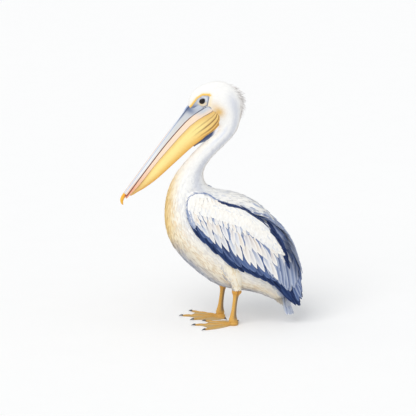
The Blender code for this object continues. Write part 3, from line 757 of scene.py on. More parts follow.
places = np.concatenate([np.linspace(0, 6, 190), np.linspace(6, S_END, 190)[1:]])[:, None]
angles = (np.arange(AROUND) * 2 * np.pi / AROUND)[None]
outside = body(places, angles)
rim = within(outside[..., 0], outside[..., 2], FACE) - 99 * (side_of(angles) < CROWN_SIDE)
bare = fade(rim, -2.5, 1.0)
swell = near(from_eye(outside[..., 0], outside[..., 2]), 16.5, 3.6) * 1.6
grow = -COAT(places)[..., 0] * (1 - bare) + (swell - 1.0) * bare
hull = body(places, angles, grow)
front = np.array([FACE_POLE[0], 0, FACE_POLE[1]], float)
nose = front + (hull[0] - front) * np.array([0.35, 0.7])[:, None, None]
hull = np.concatenate([nose, hull])
places = np.concatenate([np.zeros((2, 1)), places])
grid_s, grid_angle = np.broadcast_arrays(places, angles)
flesh_paint = paint_face(plumage(grid_s, grid_angle, hull), hull)
flesh = closed(hull, flesh_paint, (232, 222, 200), start=front)
print("flesh:", len(flesh[0]), "points")

# %% [markdown]
# ## Eyelids
# A lid is a soft fold of skin that wraps the ball. Here it is a thin tyre round each eye, its path an
# oval lifted at the back, with the lower half thicker. The inner side of the fold is dark and wet.


# %% Lids
def lids(side):
    """Centre: an oval round the eye. Section: a circle of about 2 mm. Both turned by the oval's tilt."""
    turn, section = turns(72)[:, None], turns(18)[None]
    thick = 2.2 + 0.5 * near(np.sin(turn), -1, 0.9)
    a = 13.0 + thick * np.cos(section)
    b = 10.9 + thick * np.cos(section)
    lean = math.radians(24)
    u, v = a * np.cos(turn), b * np.sin(turn)
    x = EYE_PLACE[0] + u * math.cos(lean) - v * math.sin(lean)
    z = EYE_PLACE[1] + u * math.sin(lean) + v * math.cos(lean)
    y = side * (EYE_DEPTH + 6.6 + thick * 0.8 * np.sin(section) + 0 * turn)
    upper = np.clip(v, -11, 11) / 11
    low_lid = (fade(-upper, -0.1, 0.5), (232, 210, 168))
    wet = (fade(np.cos(section), 0.15, -0.35), (44, 38, 38))
    colour = painted(x.shape, (196, 202, 212), low_lid, wet)
    return *hoop(np.stack([x, y, z], -1)), colour.reshape(-1, 3)


eyelids = [lids(-1), lids(1)]
print("lids:", [len(s[0]) for s in eyelids])

# %% [markdown]
# ## The pouch
# Between the jaws hangs a bag of elastic skin. At rest it is drawn up in folds that run along the jaw,
# deepest against the throat. Its section is wide under the jaw and closes to the keel below: the half
# width is sqrt(1 - u^2.6) down the depth u. Folds are bands at fixed u that fade out towards the tip.

# %% Pouch
# the darkness painted on each crease is painted shade in the fold
FOLDS = [  # depth u, breadth and height of the fold, then breadth and darkness of the crease painted on it
    (0.30, 0.035, 0.9, 0.030, 0.5),
    (0.52, 0.045, 1.5, 0.035, 1.0),
    (0.74, 0.040, 1.5, 0.035, 1.0),
    (0.88, 0.030, 1.0, 0.030, 0.8),
]
JAW_THICK = 7.8


def rami_half(t):
    """Half width of the jaws: the bill's own, or just outside the head where they lie against it."""
    reach = np.array([-66, -60, -45, -30, -12, 12, 43, 90, 150, 235, 310, 365, BILL_TIP], float)
    table = BILL_AT(reach)
    middle = bill_place(reach, 0, (table[:, 0] + table[:, 1]) / 2)
    beside = HEAD_WIDTH(middle[:, 0], middle[:, 2]) + 1.0
    half = np.where(reach < 20, np.maximum(table[:, 3], beside), table[:, 3])
    return np.interp(t, reach, half)


def pouch_shape():
    """Half section: in between the jaws to u = 0, then the free bag from u = 0 to the keel at u = 1."""
    t = np.concatenate([np.linspace(-58, 20, 54), np.linspace(20, 407, 110)[1:]])[:, None]
    table = BILL_AT(t[:, 0])
    seam, edge, keel, _, bag = (table[:, k : k + 1] for k in range(5))
    outer = rami_half(t)
    u = (1 - np.cos(np.linspace(0, np.pi, 44)[None])) / 2
    q = edge + 0.8 + (keel - edge - 0.8) * u
    place = bill_place(t, 0, q)
    beside = HEAD_WIDTH(place[..., 0], place[..., 2])
    free = np.minimum(bag, outer - 0.5) * np.sqrt(np.clip(1 - u**2.6, 0, 1))
    half = np.maximum(free, np.where(beside > 0, beside + 1.8, 0) * np.sqrt(np.clip(1 - u**9, 0, 1)))
    half[:, 0] = np.minimum(half[:, 0], outer[:, 0] - 0.4)
    fold = sum(near(u, at, wide) * high for at, wide, high, _, _ in FOLDS) * fade(t, 60, -40) * 2.0
    ripple = np.sin(u * 55 + t * 0.02) * 0.25 * fade(t, 400, 300) * np.sin(np.pi * u)
    half = half - (fold - ripple) * (half > 6)
    across = np.array([0.0, 0.4, 0.8, 1.0, 1.0])[None] * np.maximum(outer - JAW_THICK, 2.0)
    down = np.concatenate([seam + 4, seam + 4, seam + 4.4, seam + 6, edge - 0.5], 1)
    ys = np.concatenate([across, half], 1)
    qs = np.concatenate([down, q], 1)
    grid = bill_place(t, both_sides(ys, -1), both_sides(qs))
    depth = both_sides(np.concatenate([-0.1 * np.ones((1, 5)), u], 1))
    creases = sum(near(depth, at, wide) * dark for at, _, _, wide, dark in FOLDS)
    colour = painted(
        grid.shape[:2],
        (253, 230, 150),
        (0.75 * fade(depth, 0.35, 1.0), (242, 176, 62)),
        (0.55 * fade(depth, 0.25, 0.0), (226, 176, 98)),
        (0.65 * fade(t, 40, -45) * fade(depth, 1.2, 0.2), (222, 176, 106)),
        (0.5 * fade(t, 260, 400), (214, 150, 80)),
        # painted shade: dark brown in the creases of the folds, towards the throat
        (0.95 * creases * fade(t, 85, 0), (122, 72, 36)),
        (0.5 * near(depth, 0.98, 0.05) * fade(t, -60, 60), (206, 140, 56)),
    )
    return closed(grid, colour, (206, 140, 70))


pouch = pouch_shape()
print("pouch:", len(pouch[0]), "points")

# %% [markdown]
# ## The throat shadow
# Behind the pouch a slate sheet joins its keel to the feathered throat: painted shade, standing for the
# shadow of the pouch on the throat. It is a long lens hung from the keel, a circle stretched in height.
# It swells by the sine of the share along it and comes to nothing at both ends, so the pouch seems to
# grow out of the neck instead of lying on it.


# %% Throat shadow
def throat_shadow_sheet():
    """A lens of painted shade from t = 104 back to -52: its swelling is sin(share of the way), to the power
    0.6.
    """
    t = np.linspace(104, -52, 60)[:, None]
    turn = turns(28)[None]
    swell = np.clip(np.sin(np.pi * (104 - t) / 156), 0, 1) ** 0.6 * fade(t, 104, 30)
    keel = BILL_AT(t[:, 0])[:, 2:3]
    deep = 3 + 17 * swell
    grid = bill_place(t, (2 + 12 * swell) * np.sin(turn), keel + 1.5 - deep * np.cos(turn))
    # painted shade: dark slate under the pouch, lighter steel on its lower side, fading to white at the
    # throat
    below = (0.8 * fade(-np.cos(turn), -0.1, 0.7), (126, 138, 166))
    throat = (fade(t + 34 * np.cos(turn), 24, 4), (238, 238, 242))
    return closed(grid, painted(grid.shape[:2], (52, 68, 106), below, throat), (60, 76, 112))


# web holds the throat shadow, a sheet of painted shade
web = throat_shadow_sheet()
print("throat web:", len(web[0]), "points")

# %% [markdown]
# ## Legs and webbed feet
# A pelican's feet have all four toes in one web. The leg is a tube from inside the thigh feathers, over
# the knobbly ankle, down to the foot. The foot is a polar surface: reach and height are functions of the
# angle round the ankle, with a ridge along each toe, knuckles on the ridge, and a thin web between.

# %% Leg tube
LEG_APART = 59.0
FOOT_X = 83
LEG_TOP, HEEL_Z = 268, 134
LEGS = ((-1, "left", 0.0, 4.0), (1, "right", -50.0, 2.0))  # side, name, step forward, turn of the foot
LEG_PATH = [  # z, x, half depth, half width
    (LEG_TOP, 56, 50, 32),
    (232, 70, 46, 30),
    (200, 82, 36, 26),
    (174, 90, 23, 19.5),
    (155, 96, 16, 14.5),
    (140, 96, 15.5, 13.6),
    (131, 96, 16.2, 13.8),
    (121, 94, 12.5, 11),
    (108, 92, 10, 9.5),
    (84, 89, 9.3, 8.8),
    (58, 86, 10, 9.3),
    (40, 84, 12, 10.5),
    (28, 83, 15, 13),
    (18, 83, 17, 15),
    (8, 83, 14, 12),
]
LEG_AT = knots([(-z, x, deep, wide) for z, x, deep, wide in LEG_PATH])


def leg_shape(side, step):
    """Level ellipses down the leg, swollen at the ankle and faintly ringed like scaly skin."""
    z = np.concatenate([np.linspace(LEG_TOP, 150, 30), np.linspace(150, 8, 90)[1:]])[:, None]
    angle = turns(44)[None]
    cos = np.cos(angle)
    x, deep, wide = (LEG_AT(-z[:, 0])[:, k : k + 1] for k in range(3))
    knob = 1 + (0.17 + 0.06 * np.sin(angle * 3 + 1.0)) * near(z, HEEL_Z, 11)
    rings = 1 + 0.012 * np.sin(z * 1.05) * fade(z, 150, 120)
    ahead, out = deep * knob * rings * cos, wide * knob * rings * np.sin(angle)
    grid = np.stack(np.broadcast_arrays(x + step + ahead, side * LEG_APART + out, z), -1)
    scales = near(np.sin(z * 0.9 + 3 * np.sin(angle * 2)), 1, 0.5) * 0.16
    colour = painted(
        grid.shape[:2],
        (218, 168, 82),
        # painted highlight: the front of the leg lighter, towards the key light
        (0.45 * fade(-cos, 0.2, 0.9), (240, 192, 96)),
        (0.60 * near(z, HEEL_Z, 13), (206, 140, 44)),
        # painted shade: a dark brown crease on the back of the ankle knob
        (0.75 * near(cos, 0.30, 0.16) * fade(z, 108, 122), (120, 72, 26)),
        (0.65 * near(z, 148, 4), (110, 74, 38)),
        # painted shade: the back of the shank darker grey-brown
        (0.85 * fade(cos, -0.1, 0.5) * fade(z, 126, 112) * fade(z, 14, 34), (124, 106, 84)),
        (scales * fade(z, 150, 120), (130, 92, 50)),
        (fade(z, 148, 158), (236, 226, 205)),
    )
    return closed(grid, colour, (218, 168, 82))


# %% Foot surface
TOES = {  # angle out from straight ahead in degrees, reach to the toe's end, half width, height
    "outer": (30, 134, 7.0, 9.0),
    "middle": (0, 150, 7.5, 9.5),
    "inner": (-27, 118, 7.0, 9.0),
    "hallux": (-118, 44, 6.0, 8.0),
}
MOUND = (20.0, 19.0)  # height and radius of the foot under the leg
WEB = 2.2
MOUND_TOP = MOUND[0] - 1.5


def foot_outline():
    """Angle and reach round the foot: rounded toe ends with the web's edge hollowed between them."""
    order = list(TOES)
    angles, reach = [], []
    for key, following in zip(order, order[1:]):
        a, b = math.radians(TOES[key][0]), math.radians(TOES[following][0])
        ra, rb = TOES[key][1], TOES[following][1]
        spread = 5.5 / ra
        angles += [a + spread * share for share in (1, 0.55, 0, -0.55, -1)]
        reach += [ra - less for less in (9, 2, 0, 2, 9)]
        part = np.linspace(0.1, 0.9, 9)
        dip = 1 - (0.17 if following != "hallux" else 0.2) * (4 * part * (1 - part)) ** 0.6
        angles += list(a + (b - a) * part)
        reach += list((ra * (1 - part) + rb * part - 8) * dip)
    a, ra = math.radians(TOES["hallux"][0]), TOES["hallux"][1]
    angles += [a + off for off in (0.16, 0.08, 0, -0.08, -0.16, -0.34)]
    reach += [ra - less for less in (5, 1, 0, 1, 5, 14)]
    angles += list(np.linspace(a - 0.8, math.radians(TOES["outer"][0]) + 0.35 - 2 * math.pi, 8))
    reach += [19.0] * 8
    return np.array(angles), np.array(reach)


def foot_shape(side, step, yaw):
    """Height over the web: toe ridges 1 - (distance from the toe's line / half width)^2, and the mound."""
    angles, reach = foot_outline()
    angles, reach = np.append(angles, angles[0] - 2 * np.pi), np.append(reach, reach[0])
    place = np.arange((len(angles) - 1) * 4) / 4
    fine, full = (np.interp(place, np.arange(len(angles)), v)[None] for v in (angles, reach))
    part = np.linspace(0, 1, 34)[1:, None]
    r = np.maximum(full * part, 3 + 14 * part)
    height = np.full(r.shape, WEB) + 0.35 * np.sin(r * 0.22 + 2 * np.sin(fine * 9))
    toe = np.zeros(r.shape)
    for angle, length, half, tall in TOES.values():
        off = (fine - math.radians(angle) + np.pi) % (2 * np.pi) - np.pi
        far = r * np.abs(np.sin(np.clip(off, -1.5, 1.5)))
        knuckle = 1 + 0.10 * np.cos(r * 2 * np.pi / (length / 3.4))
        ridge = tall * (1 - 0.35 * np.clip(r / length, 0, 1) ** 2) * knuckle
        shape = np.clip(1 - (far / half) ** 2, 0, 1) * (np.abs(off) < 1.4)
        height = np.maximum(height, WEB + (ridge - WEB) * shape**0.8)
        toe = np.maximum(toe, shape)
    mound = MOUND[0] * np.clip(1 - (r / (MOUND[1] + 5)) ** 2, 0, 1)
    height = np.maximum(height, np.minimum(mound, MOUND_TOP))
    rim = full * 0 + height[-1:] * 0.55
    rows_r = np.concatenate([r, r[-1:] + 0.3, r[-1:], r[-1:] - 1.5])
    rows_z = np.concatenate([height[:-1], height[-1:] * 0.85, rim, np.maximum(rim * 0.25, 0.4), 0 * rim])
    toe = np.concatenate([toe, toe[-1:], toe[-1:], toe[-1:]])
    ahead, out = rows_r * np.cos(fine), rows_r * np.sin(fine)
    turn = math.radians(yaw)
    x = FOOT_X + step - (ahead * math.cos(turn) - out * math.sin(turn))
    y = side * (LEG_APART + ahead * math.sin(turn) + out * math.cos(turn))
    colour = painted(
        x.shape,
        (214, 184, 128),
        (0.85 * fade(toe, 0.05, 0.6), (211, 160, 70)),
        (0.4 * near(toe, 0.10, 0.10) * (rows_z > 0.5), (150, 116, 66)),
        (fade(rows_r, 40, 18), (218, 168, 82)),
        (0.35 * fade(np.abs(rows_r / full - 1), 0.05, 0.0), (150, 116, 66)),
    )
    ankle, sole = ((FOOT_X + step, side * LEG_APART, level) for level in (MOUND_TOP, 0))
    return closed(np.stack([x, y, rows_z], -1), colour, (218, 168, 82), start=ankle, end=sole)


limbs = [leg_shape(side, step) for side, _, step, _ in LEGS]
limbs += [foot_shape(side, step, yaw) for side, _, step, yaw in LEGS]
print("legs and feet:", [len(s[0]) for s in limbs], "points")

# %% One skin
FLESH = ["head", "neck_upper", "neck_middle", "neck_lower", "trunk", "pouch", "thigh_left", "thigh_right"]
FLESH += ["shank_left", "shank_right", "foot_left", "foot_right"]
skin = add_piece("skin", merged([flesh, *eyelids, pouch, web, *limbs]), SKIN, FLESH)

# %% [markdown]
# ## Eyes
# The ball is a sphere turned to the side, so that iris and pupil are rings round its pole. The clear
# coat gives the wet glint, and the ball's real depth in the head lets the lids cut into it.


# %% Eyeballs
def eyeball(side):
    """A sphere whose pole looks sideways: radius times (sin, cos) of the angle from the pole."""
    polar, turn = np.linspace(0.02, np.pi - 0.02, 46)[:, None], turns(48)[None]
    r = EYE_RADIUS * np.sin(polar)
    x, z = EYE_PLACE[0] + r * np.cos(turn), EYE_PLACE[1] + r * np.sin(turn)
    y = side * (EYE_DEPTH + EYE_RADIUS * np.cos(polar)) + 0 * turn
    pupil = (fade(r, 6.6, 5.6) * (polar < 1.5), (8, 7, 8))
    rim = (0.9 * fade(r, 8.6, 10.4), (14, 11, 12))
    middle, out = np.array([EYE_PLACE[0], side * EYE_DEPTH, EYE_PLACE[1]]), (0, side * EYE_RADIUS, 0)
    colour = painted(x.shape, (30, 19, 16), pupil, rim)
    grid = np.stack([x, y, z], -1)
    return closed(grid, colour, (8, 7, 8), (24, 18, 16), start=middle + out, end=middle - out)


for side, name in ((-1, "left"), (1, "right")):
    add_piece("eyeball_" + name, eyeball(side), EYE, ["eye_" + name])

# %% [markdown]
# ## The bill
# The upper bill is a flat plate with a rounded ridge down its middle and a groove each side of it. The
# lower bill is two thin rods, joined at the tip, which bow apart to open the pouch. Both are sections
# carried along t. The hooked nail at the tip is its own piece of harder, yellow horn.


# %% Upper bill
def upper_bill_shape():
    """Half section through nine named heights: ridge, groove, plate, and the cutting edge at the seam."""
    t = np.concatenate([np.linspace(-45, 30, 40), np.linspace(30, BILL_TIP, 150)[1:]])
    table = BILL_AT(t)
    w, s = table[:, 3], table[:, 0]
    lip, g = s - 0.4, np.minimum(9.5, 0.62 * w)
    none = 0 * w
    ys = np.stack([none, 0.5 * g, 0.85 * g, g, 0.5 * (g + w), w - 1, w, w - 1.5, none], 1)
    ridge = [none, none + 0.8, none + 3, none + 4.4]
    qs = np.stack([*ridge, 0.28 * s + 1.2, lip - 5.5, lip - 1.5, lip, lip - 3], 1)
    level = np.linspace(0, 8, 41)
    y, q = np.clip(spline(ys.T)(level).T, 0, w[:, None]), spline(qs.T)(level).T
    q[:, 0] = 0.0
    t, level = t[:, None], both_sides(level[None])
    grid = bill_place(t, both_sides(y, -1), both_sides(q))
    colour = painted(
        grid.shape[:2],
        (240, 242, 246),
        (0.55 * fade(level, 3.4, 5.2), (218, 219, 214)),
        (0.85 * near(level, 3.0, 0.7), (140, 164, 200)),
        (0.55 * near(level, 1.2, 0.45) * fade(t, 30, 90), (196, 206, 222)),
        (0.85 * near(level, 3.0, 0.8) * fade(t, 150, -10), (66, 92, 136)),
        (0.90 * fade(level, 1.5, 0.7) * fade(t, 60, 150), (238, 182, 130)),
        (0.8 * near(t, -2, 14) * fade(level, 4.0, 1.0), (96, 134, 190)),
        (0.65 * near(level, 4.6, 0.8) * fade(t, 300, 60), (190, 190, 188)),
        (0.6 * fade(t, 300, 400) * fade(level, 3.5, 5.5), (236, 176, 128)),
        (0.8 * fade(t, 70, 0) * fade(level, 3.2, 4.2), (196, 199, 206)),
        (0.95 * fade(t, 14, -10) * fade(level, 3.0, 3.8), (184, 191, 203)),
        (0.85 * near(t, -6, 14) * near(level, 4.0, 1.0), (88, 104, 140)),
        (0.9 * near(level, 3.3, 0.5) * fade(t, 70, 20), (40, 62, 108)),
        (0.95 * fade(level, 5.35, 5.95) * fade(t, -6, 24), (120, 58, 38)),
        (0.9 * fade(level, 5.75, 6.35) * fade(t, 10, -10), (66, 82, 120)),
    )
    return closed(grid, colour, (200, 200, 200))


add_piece("upper_bill_horn", upper_bill_shape(), BILL, ["upper_bill"])


# %% Lower bill
def squared(value):
    """A sine or cosine made squarer, for a bar with flat sides: its size to the power 0.55."""
    return np.sign(value) * np.abs(value) ** 0.55


def lower_bill_shape():
    """A rounded bar swept from the left jaw round the tip to the right: a superellipse of power 0.55."""
    t = np.concatenate([[-65.6, -65, -63.5], np.linspace(-61, 43, 50), np.linspace(43, BILL_TIP, 130)[1:]])
    bar = 3.5  # half the bar's thickness
    lane = rami_half(t) - bar
    tip = np.linspace(0, np.pi, 42)[1:-1]
    path_t = np.concatenate([t, BILL_TIP + lane[-1] * np.sin(tip), t[::-1]])
    path_y = np.concatenate([-lane, -lane[-1] * np.cos(tip), lane[::-1]])
    step_t, step_y = np.gradient(path_t), np.gradient(path_y)
    size = np.hypot(step_t, step_y)
    t_off, y_off = (-step_y / size)[:, None], (step_t / size)[:, None]
    end = np.sqrt(np.clip(1 - ((np.clip(path_t, -66, -49) + 49) / 17.0) ** 2, 0.02, 1))[:, None]
    table = BILL_AT(np.clip(path_t, -62, 430))
    top, low = table[:, 0:1] + 0.4, table[:, 1:2]
    turn = turns(26)[None]
    rise = squared(np.cos(turn))
    across = bar * end * squared(np.sin(turn))
    q = (top + low) / 2 - (low - top) / 2 * end * rise
    t = path_t[:, None]
    grid = bill_place(t + t_off * across, path_y[:, None] + y_off * across, q)
    colour = painted(
        grid.shape[:2],
        (247, 222, 198),
        (0.9 * fade(t, 8, -34) * fade(rise, -0.9, 0.3), (196, 204, 214)),
        (0.6 * fade(t, 200, 400), (238, 160, 112)),
        (0.7 * fade(t, 330, 400) * fade(rise, -0.3, 0.8), (222, 92, 56)),
        (0.85 * fade(rise, 0.86, 0.985) * fade(t, -70, 40), (142, 76, 54)),
        (0.6 * fade(rise, -0.93, -0.99), (172, 122, 84)),
        (0.95 * fade(t, 0, -36) * fade(np.abs(rise), 0.80, 0.96), (74, 90, 122)),
        (0.85 * fade(t, -59, -63), (84, 98, 126)),
    )
    return closed(grid, colour, (84, 98, 126))


add_piece("lower_bill_horn", lower_bill_shape(), BILL, ["lower_bill"])


# %% Nail
def nail_shape():
    """Ellipses square to a path that hooks down over the tip: t, q, half depth, half width."""
    table = [(412.4, 8.4, 8.2, 14), (422, 8.0, 7.9, 12.6), (432, 8.4, 7.4, 10.8), (441, 11, 6.6, 8.6)]
    table += [(448, 16, 5.2, 6.2), (452.5, 22, 3.3, 3.8), (454, 26.5, 1.0, 1.2)]
    row = spline(table)(np.linspace(0, 6, 60))
    way = np.gradient(row[:, :2], axis=0)
    way /= np.linalg.norm(way, axis=1, keepdims=True)
    turn = turns(30)[None]
    off = row[:, 2:3] * np.cos(turn)
    t = row[:, 0:1] - way[:, 1:2] * off
    q = row[:, 1:2] + way[:, 0:1] * off
    grid = bill_place(t, row[:, 3:4] * np.sin(turn), q)
    root = (0.95 * near(t, BILL_TIP, 11) * fade(q, 3, 12), (206, 60, 36))
    hook = (0.5 * fade(q, 18, 26), (206, 128, 40))
    return closed(grid, painted(t.shape, (244, 184, 52), root, hook), (226, 90, 50), (206, 128, 40))


add_piece("bill_nail_horn", nail_shape(), NAIL, ["bill_nail"])

# %% [markdown]
# ## Claws
# Each toe ends in a short dark claw. It is a cone of rings, arched a little so that its tip comes down to
# the floor, and it starts inside the toe so that no gap shows.


# %% Claws
def claw_shape(side, step, angle, length):
    """A round taper past the toe's end, arched a little: thickness 3.6 (1 - part)^0.7."""
    part, turn = np.linspace(0, 1, 16)[:, None], turns(14)[None]
    reach = length - 2.0 + 16.9 * part
    thick = 3.6 * (1 - part) ** 0.7 + 0.22
    height = 0.5 + thick + 1.6 * 4 * part * (1 - part)
    off = thick * 0.8 * np.cos(turn)
    x = FOOT_X + step - reach * math.cos(angle) + off * math.sin(angle)
    y = side * (LEG_APART + reach * math.sin(angle) + off * math.cos(angle))
    grid = np.stack([x, y, height + thick * np.sin(turn)], -1)
    root = (fade(part, 0.25, 0.0), (120, 96, 66))
    return closed(grid, painted(x.shape, (58, 58, 66), root), (58, 58, 66))


for side, name, step, yaw in LEGS:
    shapes = [claw_shape(side, step, math.radians(toe[0] + yaw), toe[1]) for toe in TOES.values()]
    add_piece("claws_" + name, merged(shapes), CLAW, [f"claw_{name}_{toe}" for toe in TOES])

# %% [markdown]
# ## One feather, many times
# A feather here is a closed leaf of a few rings, each ring four points: left edge, top of the shaft,
# right edge, underside. That is thin, has a true front and back, and costs thirty to fifty triangles. All the
# leaves of a tract are made at once: every number is an array with one row per feather. A leaf isn't laid
# straight in space. It is drawn in the two coordinates of the surface below it and then lifted, so that
# it drapes over the breast or the folded wing as a real feather does.

# %% Leaf shapes: place along the feather, share of the half width there
LANCE = [(0, 0.35), (0.25, 0.85), (0.52, 1.0), (0.8, 0.62), (1, 0.06)]
BLADE = [(0, 0.45), (0.2, 0.85), (0.45, 1.0), (0.7, 0.98), (0.86, 0.8), (0.96, 0.45), (1, 0.12)]
COVERT = [(0, 0.4), (0.3, 0.9), (0.6, 1.0), (0.8, 0.88), (0.93, 0.46), (1, 0.05)]
FINGER = [(0, 0.40), (0.25, 0.92), (0.5, 1.0), (0.7, 0.84), (0.86, 0.50), (1, 0.04)]
SMALL = [(0, 0.45), (0.45, 1.0), (0.85, 0.6), (1, 0.1)]
PLUME = [(0, 0.6), (0.3, 1.0), (0.65, 0.7), (0.88, 0.35), (1, 0.06)]
EDGE = np.array([-1.0, 0.0, 1.0, 0.0])
CROWN = np.array([0.0, 1.0, 0.0, -1.0])


def column(value):
    """One value per feather, ready to meet rings and ring points."""
    return np.asarray(value, float).reshape(-1, 1, 1)


def heading(turn):
    """Unit ways from angles."""
    return np.stack([np.cos(turn), np.sin(turn)], 1)


def leaves(surface, root, way, length, width, shape, lift, thick, scale=1.0, bend=0.0, cup=0.0):
    """Leaves drawn on a surface. Along: root + way * length * v. Across: half width * share * edge.

    Both are in millimetres and turned into the surface's own coordinates by `scale`. Height runs from
    lift[0] at the root to lift[1] at the tip; `cup` tips one edge up so that neighbours lie as shingles.
    """
    v, share = np.array(shape, float).T
    v, share = v[None, :, None], share[None, :, None]
    root, way = np.asarray(root, float), np.asarray(way, float)
    side = np.stack([-way[:, 1], way[:, 0]], 1)
    scale = np.broadcast_to(scale, root.shape)
    length, half = column(length), column(width) / 2
    across = half * share * EDGE + column(bend) * length * v**2
    drawn = [column(way[:, k]) * length * v + column(side[:, k]) * across for k in range(2)]
    a, b = (column(root[:, k]) + drawn[k] * column(scale[:, k]) for k in range(2))
    height = column(lift[0]) * (1 - v) + column(lift[1]) * v + column(cup) * EDGE
    height = height + column(thick) / 2 * CROWN * (0.35 + 0.65 * share)
    return surface(a, b, height)


def paint_leaves(shape, edge, core, reach=(1.0, 0.6), tip=None):
    """Colour per point: the core colour on the shaft, fading to the edge colour sideways and, from
    reach[0] at the root to reach[1] at the tip, along it. A tip colour may take over the last part."""
    v = np.array(shape, float)[:, 0][None, :, None, None]
    middle = (1 - 0.75 * np.abs(EDGE))[None, None, :, None]
    amount = middle * (reach[0] + (reach[1] - reach[0]) * v)
    edge, core = (np.asarray(c, float).reshape(-1, 1, 1, 3) for c in (edge, core))
    colour = edge * (1 - amount) + core * amount
    if tip is not None:
        last = fade(v, 0.72, 1.0)
        colour = colour * (1 - last) + np.asarray(tip, float).reshape(-1, 1, 1, 3) * last
    return colour


print("leaf shapes have", [len(s) for s in (LANCE, BLADE, COVERT, FINGER, SMALL, PLUME)], "rings")


# %% Leaves to a mesh
def leaf_pattern(rings):
    """The faces of one leaf and, for each corner, its place in a unit patch: a cylinder unrolled."""
    i, k = np.arange(rings - 1)[:, None], np.arange(4)[None]
    n = (k + 1) % 4
    sides = np.stack([4 * i + k, 4 * i + n, 4 * i + 4 + n, 4 * i + 4 + k], -1).reshape(-1, 4)
    last = 4 * (rings - 1)
    faces = np.concatenate([sides, [[3, 2, 1, 0], [last, last + 1, last + 2, last + 3]]])
    i, k = i + 0 * k, k + 0 * i
    x = np.stack([k, k + 1, k + 1, k], -1).reshape(-1, 4) / 4
    y = (np.stack([i, i, i + 1, i + 1], -1).reshape(-1, 4) / (rings - 1)) * 0.8 + 0.1
    square_x = np.array([[0, 1, 1, 0]] * 2)
    square_y = np.array([[0, 0, 0.08, 0.08], [0.92, 0.92, 1, 1]])
    return faces, np.stack([np.concatenate([x, square_x]), np.concatenate([y, square_y])], -1)


def plumes(name, tracts, material, stands_for=()):
    """Joins tracts of leaves into one piece. A tract is (points, colours, leaf shape, root places in 0-1)."""
    points, quads, paints, vane, patch, start = [], [], [], [], [], 0
    spots = np.concatenate([t[3] for t in tracts])
    low, span = spots.min(0), np.ptp(spots, axis=0)
    for leaf, colour, shape, spot in tracts:
        count, rings = leaf.shape[:2]
        faces, corners = leaf_pattern(rings)
        flat = leaf.reshape(count, rings * 4, 3)
        three = np.concatenate([faces[:, [0, 1, 2]], faces[:, [0, 2, 3]]])
        a, b, c = (flat[:, three[:, k]] - flat[:, :1] for k in range(3))
        inside_out = (a * np.cross(b, c)).sum((1, 2)) < 0
        order = np.where(inside_out[:, None], [3, 2, 1, 0], [0, 1, 2, 3])[:, None, :]
        each = np.broadcast_to(faces, (count, *faces.shape))
        each = np.take_along_axis(each, np.broadcast_to(order, each.shape), 2)
        across = np.array([0.02, 0.5, 0.98, 0.5])[each % 4]
        along = np.array(shape, float)[:, 0][each // 4]
        vane.append(np.stack([across, along], -1).reshape(-1, 2))
        spread = np.broadcast_to(corners, (count, *corners.shape))
        spread = np.take_along_axis(spread, np.broadcast_to(order, each.shape)[..., None], 2)
        home = 0.01 + 0.98 * (spot - low) / span
        patch.append((home[:, None, None] + (spread - 0.5) * 0.003).reshape(-1, 2))
        quads.append((each + (start + np.arange(count) * rings * 4)[:, None, None]).reshape(-1, 4))
        points.append(flat.reshape(-1, 3))
        paints.append(np.broadcast_to(colour, leaf.shape).reshape(-1, 3))
        start += count * rings * 4
    shape = (np.concatenate(points), np.concatenate(quads), np.zeros((0, 3), int), np.concatenate(paints))
    print(name, "feathers:", len(spots))
    maps = {"vane": np.concatenate(vane), "OFBake": np.concatenate(patch)}
    return add_piece(name, shape, material, list(stands_for), maps)


# %% [markdown]
# ## The coat
# Feathers grow in staggered rows. Each row here is one ring of the body, with roots at even spacing, and
# the next row starts half a step aside. Length follows the local spacing of the rings, so the outer side
# of a bend is as well covered as the inner. Roots stay out of bare skin and from under the folded wing.


# %% Rows of roots
def run_along(points):
    """Distance run along a line of points, 0 at the first."""
    return np.concatenate([[0], np.cumsum(np.linalg.norm(np.diff(points, axis=0), axis=1))])


def body_roots(s_from, s_to, gap, beside):
    """Roots (s, angle) row by row: `gap` along and `beside` around, in mm, as functions of s."""
    found, s, odd = [], s_from, 0
    ring = np.linspace(-np.pi, np.pi, 241)
    while s < s_to:
        along, _ = stretch(np.array([s]), np.linspace(0, np.pi, 24))
        run = run_along(body(np.array([s]), ring))
        count = int(run[-1] / beside(s))
        where = (np.arange(count) + 0.5 * (odd % 2)) / count * run[-1]
        where = where + RANDOM.uniform(-0.28, 0.28, count) * beside(s)
        angle = np.interp(where % run[-1], run, ring)
        jitter = RANDOM.uniform(-0.3, 0.3, count) * gap(s) / along.mean()
        found.append(np.stack([np.maximum(s + jitter, 0.04), angle], 1))
        s += gap(s) / along.mean()
        odd += 1
    return np.concatenate(found)


def line(*pairs):
    """A function that runs straight between (s, value) pairs."""
    xs, ys = zip(*pairs)
    return lambda s: np.interp(s, xs, ys)


GAP_ALONG = line((0, 3.6), (4, 4.6), (6, 6.0), (10, 7.5), (12, 10), (14, 12), (19, 11))
GAP_BESIDE = line((0, 2.2), (4, 2.7), (6, 3.2), (10, 4.2), (12, 5.5), (14, 6.4), (19, 5.6))
LENGTH = line((0, 8), (4, 11), (6, 15), (10, 20), (12, 31), (14, 40), (19, 38))
WIDTH = line((0, 4.3), (4, 5.5), (6, 6.6), (10, 7.6), (12, 9.6), (14, 11.2), (19, 10.0))

COVERT_TOP = [(-72, 521), (-24, 531), (50, 505), (129, 464), (196, 412), (242, 367), (276, 322), (297, 270)]
COVERT_TOP += [(308, 218), (312, 172), (311, 148)]
COVERT_LOW = [(-84, 430), (-58, 412), (-6, 350), (50, 310), (104, 270), (150, 246), (193, 218), (232, 196)]
COVERT_LOW += [(264, 172), (290, 152), (306, 140)]
WING_OUTLINE = COVERT_TOP + COVERT_LOW[::-1]


